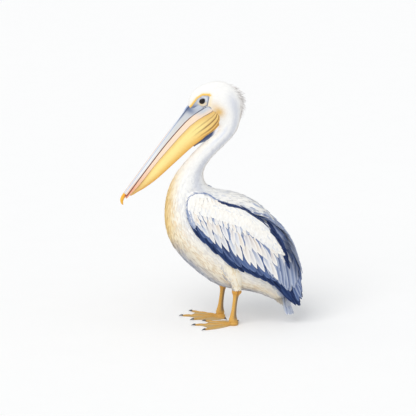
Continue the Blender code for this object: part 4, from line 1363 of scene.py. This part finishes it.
def coat(name, s_from, s_to, shape, keep_mouth_clear):
    """A tract of contour feathers between two places of the body, as one piece."""
    root = body_roots(s_from, s_to, GAP_ALONG, GAP_BESIDE)
    s, angle = root.T
    place = body(s, angle)
    x, z = place[:, 0], place[:, 2]
    side = side_of(angle)
    covered = (within(x, z, WING_OUTLINE) > 30) & (side > 0.5) & (side < 2.5)
    keep = ~covered & ~((within(x, z, FACE) > -1.5) & (side > CROWN_SIDE))
    if keep_mouth_clear:
        keep &= ~((within(x, z, MOUTH) > 2) & (side > 0.9))
        t, q = bill_coordinates(x, z)
        keep &= ~((t > -20) & (q > 3) & (q < BILL_AT(t)[:, 2] + 4))
    root, s, angle, place, side, x, z = (v[keep] for v in (root, s, angle, place, side, x, z))
    count = len(s)
    along, around = stretch(s, angle)
    mean = stretch(s[:, None], np.linspace(0, np.pi, 12)[None])[0].mean(1)
    local = np.clip(along / mean, 0.55, 1.7)
    back = fade(s, 12, 14) * fade(1.35 - side, 0, 0.5)
    blade = tailward(s, x, z)
    length = LENGTH(s) * local * RANDOM.uniform(0.82, 1.22, count) * (1 + 0.5 * back + 0.5 * blade)
    width = WIDTH(s) * RANDOM.uniform(0.8, 1.2, count) * (1 + 0.45 * back + 0.2 * blade)
    way = heading(RANDOM.normal(0, 0.11, count))
    face = fade(within(x, z, FACE), -16, -2)
    loose = RANDOM.uniform(0.0, 1.0, count) * line((0, 0.5), (6, 1.2), (12, 2.2), (19, 2.6))(s)
    lift = (-COAT(s)[:, 0] * 0.45, (-0.9 + loose) * (1 - face) - 1.6 * face)
    thick = line((0, 0.5), (6, 0.7), (14, 1.1))(s)
    scale = np.stack([1 / along, 1 / around], 1)
    bend = RANDOM.normal(0, 0.03, count)
    leaf = leaves(body, root, way, length, width, shape, lift, thick, scale, bend)
    base = plumage(s, angle, place)
    dark, amount = streaks(s, angle, RANDOM.uniform(0, 1, count))
    amount = amount[:, None]
    edge = base * (1 - 0.25 * amount) + dark * 0.25 * amount
    core = base * (1 - amount) + dark * amount
    shade = RANDOM.uniform(0.95, 1.0, (count, 1))
    colour = paint_leaves(shape, edge * shade, core * shade, (1.0, 0.8))
    spot = np.stack([angle / (2 * np.pi), s / S_END], 1)
    return plumes(name, [(leaf, colour, shape, spot)], DOWN)


coat("coat_head", 0.0, 6.0, SMALL, True)
coat("coat_neck", 5.9, 11.5, SMALL, True)
coat("coat_breast", 11.3, 14.6, LANCE, False)
coat("coat_rear", 14.4, 18.9, LANCE, False)

# %% [markdown]
# ## The folded wing
# A folded wing is a stack of shingles. White coverts lie on top in rows, short at the shoulder and long
# at the last row; the dark secondaries show below them, and the long primaries are tucked behind with
# only their tips out. Each row is told by the line its tips follow in the side view, which is what the
# eye reads, and every feather is then drawn back from its tip and draped on the wing's face.

# %% The wing's face
WING_AXIS = ((-85, 480), (350, 85))
WING_HALF = knots([(-60, 90), (0, 100), (150, 112), (300, 108), (420, 98), (520, 88), (600, 76)])


def wing_face(x, z):
    """The face's distance from the middle plane: a smooth maximum of the free wing and the trunk."""
    (x0, z0), (x1, z1) = WING_AXIS
    size = math.hypot(x1 - x0, z1 - z0)
    way = ((x1 - x0) / size, (z1 - z0) / size)
    along = (x - x0) * way[0] + (z - z0) * way[1]
    across = (z - z0) * way[0] - (x - x0) * way[1]
    free = WING_HALF(along)[..., 0] - 42 * ((across + 25) / 105) ** 2
    rest = TRUNK_WIDTH(x, z)
    return np.maximum((free + rest + np.sqrt((free - rest) ** 2 + 64)) / 2, 20)


def wing_surface(side):
    """A surface for `leaves`: (x, z, height) to a point, with height along the face's normal."""

    def at(x, z, height):
        e = 3.0
        y = wing_face(x, z)
        slope_x = (wing_face(x + e, z) - wing_face(x - e, z)) / (2 * e)
        slope_z = (wing_face(x, z + e) - wing_face(x, z - e)) / (2 * e)
        size = np.sqrt(1 + slope_x**2 + slope_z**2)
        shift = height / size
        return np.stack([x - slope_x * shift, side * (y + shift), z - slope_z * shift], -1)

    return at


def line_through(table, count, start=0.0, end=1.0):
    """Evenly spaced points on a spline through a table of points."""
    fine = spline(table)(np.linspace(0, len(table) - 1, 400))
    run = run_along(fine)
    want = np.linspace(start, end, count) * run[-1]
    return np.stack([np.interp(want, run, values) for values in fine.T], 1)


def along_edge(table, count, start, end):
    """Points on a line and the line's own slope at each, as the angle below the level in degrees."""
    points = line_through(table, count, start, end)
    way = np.gradient(points, axis=0)
    return points, np.degrees(np.arctan2(-way[:, 1], way[:, 0]))


def spaced(values, part):
    """Values spread evenly over 0 to 1, read at each part of the way."""
    return np.interp(part, np.linspace(0, 1, len(values)), values)


FULL = (1.0, 1.0)  # the core colour runs strong from root to tip


def tract(
    side, tips, steep, length, width, shape, heights, edge, core,
    thick=0.9, fan=0.0, loose=0.5, bend=0.05, reach=FULL,
):
    """A row of wing feathers from their tips. `steep` is the angle below the level, front to rear."""
    count = len(tips)
    part = np.linspace(0, 1, count)
    way = heading(-np.radians(spaced(steep, part) + RANDOM.normal(0, 2.0 + fan, count)))
    size = spaced(length, part) * RANDOM.uniform(0.93, 1.07, count)
    wide = spaced(width, part) * RANDOM.uniform(0.92, 1.08, count)
    root = tips + RANDOM.normal(0, 1.6, tips.shape) - way * size[:, None]
    lift = (heights[0] + 0 * size, heights[1] + RANDOM.uniform(-loose, loose, count))
    curve = bend * RANDOM.uniform(0.4, 1.2, count)
    leaf = leaves(wing_surface(side), root, way, size, wide, shape, lift, thick, 1.0, curve, 0.5 + 0.2 * part)
    shade = RANDOM.uniform(0.90, 1.0, (count, 1))
    cores = blended(*core, RANDOM.uniform(0.0, 1.0, (count, 1)))
    colour = paint_leaves(shape, tint(*edge) * shade, cores, reach)
    return leaf, colour, shape, np.stack([root[:, 0] / 600 + 0.5, root[:, 1] / 700], 1)


def laid(side, rows):
    """One wing's tracts, from a list of rows that holds for both wings."""
    return [tract(side, *told, **how) for *told, how in rows]


face_width = wing_face(np.array([100.0]), np.array([360.0]))[0]
print("the folded wing stands", round(float(face_width), 1), "mm out")


# %% The arm under the coverts
def arm_shape(side):
    """A closed sheet under the coverts, thick at the bone and thin at its low edge."""
    start, reach, skin_height = 0.02, 0.84, -4.8
    u, v = np.linspace(0, 1, 90)[:, None], np.linspace(0, 1, 26)[None]
    top, low = line_through(COVERT_TOP, 90)[:, None], line_through(COVERT_LOW, 90)[:, None]
    flat = top * (1 - start) + low * start + (low - top) * reach * v[..., None]
    rim = np.sqrt(np.clip(4 * v * (1 - v), 0, 1))
    deep = (2.2 + 5.0 * np.clip(1 - u / 0.55, 0, 1) ** 0.5 * rim) * (0.15 + 0.85 * rim)
    bow = np.exp(-((u / 0.06) ** 2)) * 13 * v * (1 - v) * 4 * 0.35
    x, z = flat[..., 0] - bow, flat[..., 1]
    surface = wing_surface(side)
    upper, under = surface(x, z, skin_height + 0 * u * v), surface(x, z, -5.0 - deep)
    grid = np.concatenate([upper, under[:, ::-1]], 1)
    down = np.concatenate([v, v[:, ::-1]], 1)
    low_edge = (fade(down, 0.35, 0.7), (140, 155, 188))
    return closed(grid, painted(grid.shape[:2], (236, 236, 238), low_edge), (210, 216, 228))


# %% The lines that the coverts' tips follow
TIPS_LAST = [(-60, 412), (-29, 379), (-5, 360), (31, 322), (66, 305), (95, 282), (127, 265), (159, 246)]
TIPS_LAST += [(190, 231), (228, 213), (254, 188)]
TIPS_MIDDLE = [(-62, 432), (-39, 410), (9, 380), (30, 367), (53, 354), (79, 338), (98, 322), (130, 315)]
TIPS_MIDDLE += [(155, 305), (181, 298), (202, 276), (226, 256), (250, 240)]
TIPS_FIRST = [(-72, 452), (-61, 443), (-32, 427), (3, 416), (34, 409), (73, 393), (111, 377)]
TIPS_FIRST += [(149, 366), (181, 348), (212, 320), (238, 298), (256, 276)]
TIPS_HIGH = [(-84, 470), (-50, 452), (-16, 446), (15, 438), (53, 425), (92, 411), (130, 394)]
TIPS_HIGH += [(162, 376), (194, 354), (219, 332), (244, 310)]
WRIST = [(-74, 414), (-88, 438), (-94, 462), (-95, 492), (-89, 517), (-77, 528), (-59, 535), (-39, 533)]
WRIST += [(-20, 528), (3, 518), (34, 503), (52, 496)]
SLIT = [(30, 503), (52, 496), (72, 488), (98, 480), (124, 470), (150, 456), (176, 438), (200, 418)]
SLIT += [(222, 396)]
EDGE_TIPS = [(36, 488), (70, 478), (104, 466), (140, 450), (172, 428), (202, 402), (226, 374)]
EDGE_TIPS += [(244, 342), (256, 304)]
WHITE = (253, 251, 246)
CREAM = ((226, 217, 205), (247, 243, 235))
PALE = ((206, 212, 225), (238, 234, 226))
MIST = ((150, 163, 192), (206, 211, 222))
NAVY = ((10, 18, 46), (38, 56, 98))

# %% Rows of coverts, from the last to the first: each lies a little higher and hides the roots before
COVERT_ROWS = [  # tips, steepness, lengths, widths, shape, heights, edge, two core paints, and how
    (line_through(TIPS_LAST, 15, 0.02, 0.97) + (2, 12), (62, 69, 72, 73, 70), (60, 90, 100, 96),
     (20, 26, 28, 26), COVERT, (-4.6, -3.0), (96, 114, 156), ((52, 70, 116), (92, 112, 158)),
     dict(loose=0.4)),
    (line_through(TIPS_LAST, 13), (62, 69, 73, 75, 71, 70), (60, 92, 116, 116, 104),
     (15, 21.5, 23.5, 23), FINGER, (-3.8, -0.5), WHITE, ((172, 183, 206), (222, 214, 206)),
     dict(reach=(1.6, 0.4), loose=0.8, fan=2.0)),
    # the blue-grey under-rows here and at the first tips show in the gaps between white tips: partly the
    # feathers' own blue-grey bases, partly painted shade in the gaps
    (line_through(TIPS_MIDDLE, 18, 0.0, 0.99) + (2, 10), (62, 71, 74, 73, 68), (40, 66, 78, 70),
     (16, 21, 23, 22), COVERT, (-3.6, -2.4), (146, 160, 192), ((84, 104, 150), (128, 146, 184)),
     dict(loose=0.3)),
    (line_through(TIPS_MIDDLE, 16), (62, 71, 75, 75, 69, 66), (40, 70, 90, 84, 76),
     (12.5, 18, 20, 18.5), FINGER, (-3.2, -0.5), WHITE, ((196, 202, 218), (224, 210, 194)),
     dict(reach=(1.6, 0.3), loose=0.7, fan=2.0)),
    (line_through(TIPS_FIRST, 22) + (1, 6), (60, 72, 74, 69, 62), (34, 50, 56, 50),
     (13, 17, 18, 16), COVERT, (-3.0, -1.8), (196, 204, 220), ((134, 150, 184), (190, 197, 214)),
     dict(loose=0.3)),
    (line_through(TIPS_FIRST, 20), (60, 72, 75, 69, 62), (34, 54, 62, 56),
     (11, 14.5, 15.5, 14), FINGER, (-2.6, -0.2), WHITE, ((212, 214, 222), (226, 212, 196)),
     dict(reach=(1.4, 0.2), loose=0.6, fan=2.0)),
]
high, top = line_through(TIPS_HIGH, 30), line_through(COVERT_TOP, 30, 0.0, 0.80)
for k, share in enumerate((1.0, 0.86, 0.73, 0.61, 0.50, 0.40, 0.31)):
    size, wide = 46 - 3.2 * k, 14 - 0.7 * k
    steep = (60, 71 - 2 * k, 70 - 3 * k, 62 - 2 * k, 54)
    lengths, widths = (size * 0.7, size, size, size * 0.9), (wide * 0.8, wide, wide)
    tips, heights = high * share + top * (1 - share), (-2.2, 0.1 + 0.05 * k)
    cores = PALE if k < 2 else CREAM
    how = dict(thick=0.8, loose=0.35, reach=(1.2, 0.1))
    COVERT_ROWS.append((tips, steep, lengths, widths, COVERT, heights, WHITE, cores, how))
edge, front, wrist = line_through(EDGE_TIPS, 26), line_through(WRIST[1:8], 15), line_through(WRIST[:3], 13)
COVERT_ROWS += [
    (edge + offset, (30, 38, 46, 54, 60), (34, 38, 36), (11, 12, 11), COVERT, (-1.8, 0.2), WHITE,
     ((196, 204, 220), (240, 238, 232)), dict(thick=0.8, loose=0.3, reach=(1.0, 0.5)))
    for offset in ((-7, -12), (0, -3))
]
COVERT_ROWS += [
    (front + offset, (76, 74, 66, 48, 30, 24), (30, 26, 28), (11, 11, 10), COVERT, (-1.9, 0.1), WHITE,
     ((222, 226, 234), (246, 243, 238)), dict(thick=0.7, loose=0.3, reach=(1.0, 0.3)))
    for offset in ((20, -16), (8, -8))
]
COVERT_ROWS += [
    # the steel-blue wrist rows: partly the feathers' own colour, partly painted shade under the wrist
    (wrist + (14, -8), (52, 60, 66, 60), (34,), (10,), COVERT, (-1.8, 0.0), (222, 226, 236),
     ((128, 144, 180), (190, 199, 216)), dict(thick=0.7, reach=(1.0, 0.9))),
    (wrist + (5, -10), (58, 66, 70, 62), (26,), (8,), COVERT, (-1.6, 0.2), (200, 208, 224),
     ((118, 135, 174), (176, 187, 210)), dict(thick=0.7, reach=(1.0, 0.9))),
]
print("rows of coverts:", len(COVERT_ROWS))

# %% The wing's upper rim: a slit below the scapulars, dark with painted shadow, and a thin blue-grey line round the wrist
slit, slit_steep = along_edge(SLIT, 13, 0.16, 1.0)
rim, rim_steep = along_edge(WRIST, 24, 0.0, 1.0)
EDGING_ROWS = [
    # painted shadow: navy feathers fill the slit between the trunk and the wing's top edge
    (slit, slit_steep, (46, 54, 44, 40), (7, 9.5, 4.5, 2.4, 2.2), LANCE, (-1.0, 1.6), (70, 88, 132),
     ((20, 30, 64), (40, 54, 96)), dict(thick=0.8, loose=0.3)),
    (rim, rim_steep, (26,), (2.3,), LANCE, (-0.4, 0.9), (150, 164, 196),
     ((112, 130, 170), (140, 155, 190)), dict(thick=0.7, loose=0.2)),
]
print("rows of edging:", len(EDGING_ROWS))

# %% [markdown]
# ## Flight feathers
# Under the coverts lie the quills: secondaries along the low edge, inner quills down the rear edge, and
# a dozen long primaries behind. They are dark, stiff and nearly flat, and paler edges tell them apart.
# Every row is told as the coverts' are, by the line of its tips.

# %% Secondaries and primaries
QUILL_LOW = [(-62, 394), (-48, 369), (-32, 350), (-13, 336), (6, 320), (28, 294), (53, 281), (79, 261)]
QUILL_LOW += [(98, 240), (131, 224), (164, 212), (198, 195), (230, 180), (262, 161), (294, 138), (317, 109)]
TIP_TOP = [(170, 450), (205, 436), (236, 410), (265, 376), (290, 340), (311, 300), (325, 258), (338, 216)]
TIP_TOP += [(350, 172), (356, 126), (356, 98)]
TERTIALS = [(229, 211), (256, 186), (276, 172), (290, 157), (304, 141), (319, 150), (332, 170)]
DARK_REAR = [(240, 392), (252, 372), (264, 348), (274, 324), (283, 300), (292, 276), (299, 250), (306, 226)]
QUILL_ENDS = [(314, 106), (328, 93), (340, 85), (351, 86), (359, 98), (362, 122), (363, 150)]
QUILL_ROWS = [
    (line_through(QUILL_LOW, 17) + (6, 5), (56, 50, 46, 44, 46, 50), (60, 100, 130, 140), (20, 25, 26, 24),
     BLADE, (-8.2, -7.0), (52, 68, 112), ((14, 20, 50), (36, 48, 90)), dict(thick=1.0, bend=-0.03)),
    (line_through(QUILL_LOW, 16), (57, 51, 46, 44, 46, 50), (60, 96, 126, 140), (17, 23, 25, 22),
     BLADE, (-7.0, -4.8), (64, 84, 130), NAVY, dict(thick=1.0, loose=1.0, bend=-0.03)),
    (line_through(QUILL_LOW, 15, 0.05, 0.93) + (8, 15), (60, 54, 50, 48, 50, 54), (50, 80, 110, 120),
     (15, 21, 22), BLADE, (-6.0, -3.8), (118, 136, 176), ((30, 44, 88), (84, 104, 148)),
     dict(loose=0.9, bend=-0.03)),
    (line_through(TIP_TOP, 16, 0.24, 0.97) + (4, 5), (40, 47, 53, 59, 64, 68), (66, 100, 130, 130),
     (15, 20, 17), COVERT, (-10.0, -6.5), (186, 196, 216), ((56, 76, 124), (104, 122, 166)),
     dict(thick=1.0, bend=-0.05, loose=1.4, fan=2.0)),
    (line_through(TIP_TOP, 8, 0.20, 0.74) + (-7, -14), (40, 50, 58, 64, 69), (70, 84, 84),
     (5, 6, 5), LANCE, (-8.6, -5.4), (246, 247, 250), ((206, 212, 226), (238, 240, 245)),
     dict(thick=0.8, bend=-0.04)),
    (line_through(TIP_TOP, 15, 0.16, 0.97) + (-11, -12), (36, 46, 55, 62, 68, 72), (80, 110, 130, 130),
     (15, 18, 18), BLADE, (-10.2, -8.0), (126, 143, 180), ((34, 48, 90), (84, 104, 148)),
     dict(thick=1.0, bend=-0.05, loose=1.0)),
    (line_through(TERTIALS, 9), (78, 75, 76, 80, 82), (110, 140, 140, 110, 90),
     (20, 22, 18), COVERT, (-4.2, -1.8), (206, 213, 227), ((64, 84, 128), (118, 134, 170)),
     dict(thick=0.8, bend=-0.04, loose=0.8, reach=(1.0, 0.9))),
    (line_through(DARK_REAR, 12), (48, 58, 64, 70, 74), (38, 70, 84, 80),
     (8, 13, 15, 13), COVERT, (-6.0, -0.6), (66, 84, 130), ((14, 20, 50), (40, 54, 96)),
     dict(bend=-0.03, loose=0.7)),
    (line_through(QUILL_ENDS, 12), (48, 51, 55, 59, 62, 65), (190, 200, 190, 170),
     (18, 19, 17), BLADE, (-13.0, -10.4), (66, 84, 130), ((10, 18, 46), (34, 50, 92)),
     dict(thick=1.1, bend=-0.06)),
]
print("rows of quills:", len(QUILL_ROWS))

# %% Both wings
for side, name in ((-1, "left"), (1, "right")):
    add_piece("wing_arm_" + name, arm_shape(side), SKIN, [f"wing_{name}_coverts"])
    plumes("coverts_" + name, laid(side, COVERT_ROWS), DOWN)
    plumes("wing_edging_" + name, laid(side, EDGING_ROWS), DOWN)
    hidden = [f"wing_{name}_secondaries", f"wing_{name}_primaries"]
    plumes("quills_" + name, laid(side, QUILL_ROWS), QUILL, hidden)

# %% [markdown]
# ## The mantle
# Between the wings the back is covered by long soft feathers, rooted on the body either side of the
# spine. They are wider and looser than the coat's, and two in five have a blue-grey heart.


# %% Mantle
def mantle():
    """Rows of roots on the back, kept clear of the wing's face; length and width grow over the shoulder."""
    root = body_roots(12.5, 17.9, line((12, 15), (18, 17)), line((12, 9), (15, 12), (18, 11)))
    place = body(*root.T)
    beneath = within(place[:, 0], place[:, 2], WING_OUTLINE)
    root = root[(np.abs(root[:, 1]) < 1.35) & (beneath < 12)]
    s, angle = root.T
    scale = 1 / np.stack(stretch(s, angle), 1)
    count = len(s)
    grown = fade(s, 11.9, 13.4)
    length = (30 + 42 * grown) * RANDOM.uniform(0.85, 1.15, count)
    width = (10 + 7 * grown) * RANDOM.uniform(0.88, 1.12, count)
    way = heading(RANDOM.normal(0, 0.09, count) + 0.10 * np.sign(angle))
    lift = (-4.0 + 0 * s, 0.2 + (1.6 + 1.8 * grown) * RANDOM.uniform(0, 1, count))
    bend = RANDOM.normal(0, 0.04, count)
    leaf = leaves(body, root, way, length, width, COVERT, lift, 0.9, scale, bend, 0.3)
    blue = (RANDOM.uniform(0, 1, (count, 1)) < 0.42) * fade(s, 12.6, 13.6)[:, None]
    core = blended((134, 150, 186), (240, 238, 234), blue)
    edge = tint(253, 252, 248) * (1 - 0.25 * blue) + tint(206, 212, 226) * 0.25 * blue
    colour = paint_leaves(COVERT, edge, core, (0.9, 0.9))
    return [(leaf, colour, COVERT, np.stack([angle / 4, s / S_END], 1))]


plumes("mantle", mantle(), DOWN)

# %% [markdown]
# ## Inner quills over the rump
# Where the wings meet over the rump their innermost quills form a roof. It is a surface of its own: one
# coordinate runs along the wings' upper line, the other is y, and a low crown keeps it from looking flat.

# %% Inner quills over the rump
ROOF = [(-10, 486), (30, 484), (75, 480), (120, 470), (146, 460), *TIP_TOP[:8], (348, 176), (354, 140)]
roof_line = line_through(ROOF, 300)
roof_run = run_along(roof_line)
ROOF_HALF = 105  # half the breadth from wing to wing


def on_roof(run):
    """The side-view place a distance along the wings' upper line."""
    return np.stack([np.interp(run, roof_run, values) for values in roof_line.T])


def roof_surface(run, y, height):
    """Millimetres along the wings' upper line, y, and height square to that line with a low crown."""
    x, z = on_roof(run)
    e = 4.0
    dx, dz = on_roof(run + e) - on_roof(run - e)
    size = np.hypot(dx, dz)
    crown = height + 3.5 * (1 - (y / ROOF_HALF) ** 2) - 2
    off = crown + 8 * fade(run, 262, 340) * fade(run, 565, 480) - 9 * (np.abs(y) / ROOF_HALF) ** 8
    return np.stack([x - dz / size * off, y, z + dx / size * off], -1)


def roof_tract(rows, first, last, size, width, lift, edge, core):
    """Staggered rows of long blades from wing to wing, their tips drawn in towards the middle."""
    abreast = 15
    tips = []
    for k, run in enumerate(np.linspace(first, last, rows)):
        half = float(wing_face(*on_roof(run)[:, None])[0]) + 2
        across = np.linspace(-1, 1, abreast) + 0.07 * (k % 2) + RANDOM.normal(0, 0.03, abreast)
        along = run + RANDOM.normal(0, 6, abreast) - 14 * across**2
        tips.append(np.stack([along, half * np.clip(across, -1, 1)], 1))
    tip = np.concatenate(tips)
    count = len(tip)
    way = heading(-0.10 * tip[:, 1] / 100 + RANDOM.normal(0, 0.05, count))
    length = size * RANDOM.uniform(0.9, 1.1, count)
    height = (lift[0] + 0 * length, lift[1] + RANDOM.uniform(-0.9, 0.9, count))
    wide, bend = width * RANDOM.uniform(0.9, 1.1, count), RANDOM.normal(0, 0.03, count)
    root = tip - way * length[:, None]
    leaf = leaves(roof_surface, root, way, length, wide, COVERT, height, 0.9, 1.0, bend, 0.9)
    cores = blended(*core, RANDOM.uniform(0, 1, (count, 1)))
    colour = paint_leaves(COVERT, painted((count,), edge), cores, FULL)
    return leaf, colour, COVERT, np.stack([tip[:, 0] / 600 + 0.2, tip[:, 1] / 260 + 0.5], 1)


roof = [roof_tract(6, 280, 530, 120, 20, (-9, -1), (112, 130, 172), ((24, 36, 74), (64, 84, 130)))]
roof.append(roof_tract(9, 215, 505, 96, 15, (-6, 4.0), (214, 220, 233), ((50, 70, 116), (108, 126, 168))))
roof.append(roof_tract(3, 185, 255, 84, 15, (-5, 2.0), (250, 249, 246), ((170, 182, 206), (226, 228, 234))))
plumes("inner_quills", roof, QUILL)

# %% [markdown]
# ## Tail, thighs and nape crest
# The tail is a short fan of broad feathers with its coverts above and below. The thighs are small muffs
# of feathers that end in a cuff above the bare ankle. On the nape some three hundred fine plumes part from
# the coat and stand out in wisps; they are the only feathers that don't lie flat.


# %% Tail
def tail_surface(along, across, height):
    """A fan sheet: along the tail's line, across in y, drooping at the sides with the square of y."""
    root, tip = np.array([290.5, 112.0]), np.array([322.0, 38.0])
    way = (tip - root) / np.linalg.norm(tip - root)
    up = np.array([-way[1], way[0]])
    part = np.clip(along / 80, -1, 1.2)
    off = height - (38 - 14 * part) * (across / 60) ** 2 * fade(along, -70, 10)
    flat = root + way * along[..., None] + up * off[..., None]
    return np.stack([flat[..., 0], across, flat[..., 1]], -1)


def tail_tract(count, fan, ends, size, width, shape, heights, edge, core):
    """Feathers side by side across the fan; `fan` is how far out the outermost tips reach."""
    c = np.linspace(-1, 1, count) + RANDOM.normal(0, 0.02, count)
    tip = np.stack([ends * (1 - 0.20 * c**2) + RANDOM.normal(0, 2, count), fan * c], 1)
    way = heading(c * 0.42)
    root = tip - way * size
    lift = (heights[0] + 0 * c, heights[1] + 0.8 * np.abs(c))
    leaf = leaves(tail_surface, root, way, size + 0 * c, width + 0 * c, shape, lift, 0.9, 1.0, 0.0, 0.4)
    cores = blended(*core, RANDOM.uniform(0, 1, (count, 1)))
    colour = paint_leaves(shape, painted((count,), edge), cores, (1.0, 0.9))
    return leaf, colour, shape, np.stack([root[:, 0] / 300 + 0.4, root[:, 1] / 160 + 0.5], 1)


TAIL_CORE, TAIL_LOW_CORE = ((160, 173, 200), (118, 135, 172)), ((134, 150, 186), (176, 188, 210))
tail_rows = [tail_tract(16, 56, 84, 120, 22, BLADE, (2, -0.6), (232, 235, 242), TAIL_CORE)]
tail_rows.append(tail_tract(14, 50, 80, 112, 21, BLADE, (-4, -6.5), (228, 232, 240), TAIL_LOW_CORE))
UNDER_TAIL = ((196, 190, 184), (228, 218, 200))
for k, (ends, wide) in enumerate(((52, 46), (44, 42), (36, 38), (28, 32), (22, 26))):
    size, above, below = 60 - 5 * k, (7 + 4 * k, 2.0 + 2.8 * k), (-11 - 9 * k, -3.4 - 8.0 * k)
    tail_rows.append(tail_tract(15, wide, ends, size, 14, LANCE, above, (240, 240, 240), MIST))
    tail_rows.append(tail_tract(15, wide, ends - 4, size, 13, LANCE, below, (240, 234, 222), UNDER_TAIL))
plumes("tail_fan", tail_rows, DOWN, ["tail"])

# %% Thigh muffs
THIGH_LOW = 112  # how far down the muff goes from the top of the leg


def thigh_surface(side, step):
    """The leg's own ellipse, grown: height z and angle round it, angle 0 to the rear."""

    def at(drop, angle, height):
        z = LEG_TOP - drop
        table = LEG_AT(-np.clip(z, 8, LEG_TOP))
        x, deep, wide = (table[..., k] for k in range(3))
        cuff = 3.0 + height + 4.5 * fade(z, 150, 190)
        shrink = fade(z, 132, 150)
        deep, wide = deep * shrink + (1 - shrink) * 15 + cuff, wide * shrink + (1 - shrink) * 13 + cuff
        return np.stack([x + step + deep * np.cos(angle), side * (LEG_APART + wide * np.sin(angle)), z], -1)

    return at


def thigh_tract(side, step):
    """Rows down the muff, each a ring of feathers that point down and slightly in."""
    drop, angle = [], []
    for k, level in enumerate(np.arange(14, THIGH_LOW, 6.5)):
        count = int(46 - 20 * level / THIGH_LOW)
        drop.append(level + RANDOM.uniform(-2, 2, count))
        around = np.arange(count) + 0.5 * (k % 2) + RANDOM.uniform(-0.25, 0.25, count)
        angle.append(around / count * 2 * np.pi)
    drop, angle = np.concatenate(drop), np.concatenate(angle)
    root = np.stack([drop, angle], 1)
    count = len(root)
    length = np.interp(drop, [0, 90, THIGH_LOW], [30, 24, 15]) * RANDOM.uniform(0.85, 1.15, count)
    way = heading(RANDOM.normal(0, 0.1, count))
    scale = np.stack([np.ones(count), 1 / np.interp(drop, [0, THIGH_LOW], [42, 18])], 1)
    lift = (-1.5 + 0 * length, 0.6 + RANDOM.uniform(0, 1.4, count))
    leaf = leaves(thigh_surface(side, step), root, way, length, 7.5 + 0 * length, LANCE, lift, 0.8, scale)
    # painted shade: blue-grey on some feathers at the front of the muff
    blue = 0.75 * fade(-np.cos(angle), 0.1, 0.9) * (RANDOM.uniform(0, 1, count) < 0.55)
    straw = 0.45 * (RANDOM.uniform(0, 1, count) < 0.3)
    base = painted((count,), (248, 240, 222), (blue, (128, 140, 170)), (straw, (228, 200, 150)))
    colour = paint_leaves(LANCE, base, base * 0.90)
    return leaf, colour, LANCE, np.stack([angle / 7 + 0.05, drop / 130], 1)


for side, name, step, _ in LEGS:
    plumes("thigh_feathers_" + name, [thigh_tract(side, step)], DOWN)

# %% Nape crest
CREST_ROOT = [(50, 944), (74, 932), (89, 916), (98, 900), (102, 884), (104, 866), (105, 845), (104, 826)]
CREST_TIPS = [(96, 944), (112, 936), (127, 918), (136, 900), (141, 882), (143, 863), (138, 846)]
CREST_TIPS += [(129, 829), (118, 812)]


def crest_surface(x, z, height):
    """Flat sheets parallel to the middle plane: height is simply y."""
    return np.stack([x, height, z], -1)


def crest_tract(count, spread, share, wide, core, tips, drop):
    """Thin plumes from roots on the nape line to tips near the crest's outline, in sheets at several y."""
    part = (np.arange(count) + RANDOM.uniform(0, 1, count)) / count
    root = spline(CREST_ROOT)(part * 7) + RANDOM.normal(0, 1.5, (count, 2))
    tip = spline(CREST_TIPS)(part * 8)
    y = RANDOM.normal(0, spread, count)
    out = share * RANDOM.uniform(0.72, 1.0, count) * (1 - 0.25 * np.minimum(np.abs(y) / 14, 1))
    root = root - (tip - root) * 0.35
    aim = tip - root
    size = np.linalg.norm(aim, axis=1) * out
    way = heading(np.arctan2(aim[:, 1], aim[:, 0]) - drop - 0.25 * part + RANDOM.normal(0, 0.12, count))
    bend = RANDOM.uniform(-0.14, 0.02, count)
    wide = RANDOM.uniform(0.8, 1.2, count) * wide
    leaf = leaves(crest_surface, root, way, size, wide, PLUME, (y, y * 1.2), 0.9, 1.0, bend)
    mix = RANDOM.uniform(0, 1, (count, 1))
    cores, ends = blended(core, (246, 244, 242), mix), blended(tips, (236, 233, 230), mix)
    colour = paint_leaves(PLUME, painted((count,), (248, 246, 244)), cores, (0.2, 1.0), ends)
    return leaf, colour, PLUME, np.stack([part, 0.5 + y / 90], 1)


soft = crest_tract(240, 6.5, 0.86, 4.2, (232, 230, 230), (226, 222, 220), 0.12)
wisps = crest_tract(80, 5.0, 1.16, 3.0, (128, 118, 116), (112, 100, 96), 0.20)
plumes("nape_crest", [soft, wisps], DOWN, ["crest"])
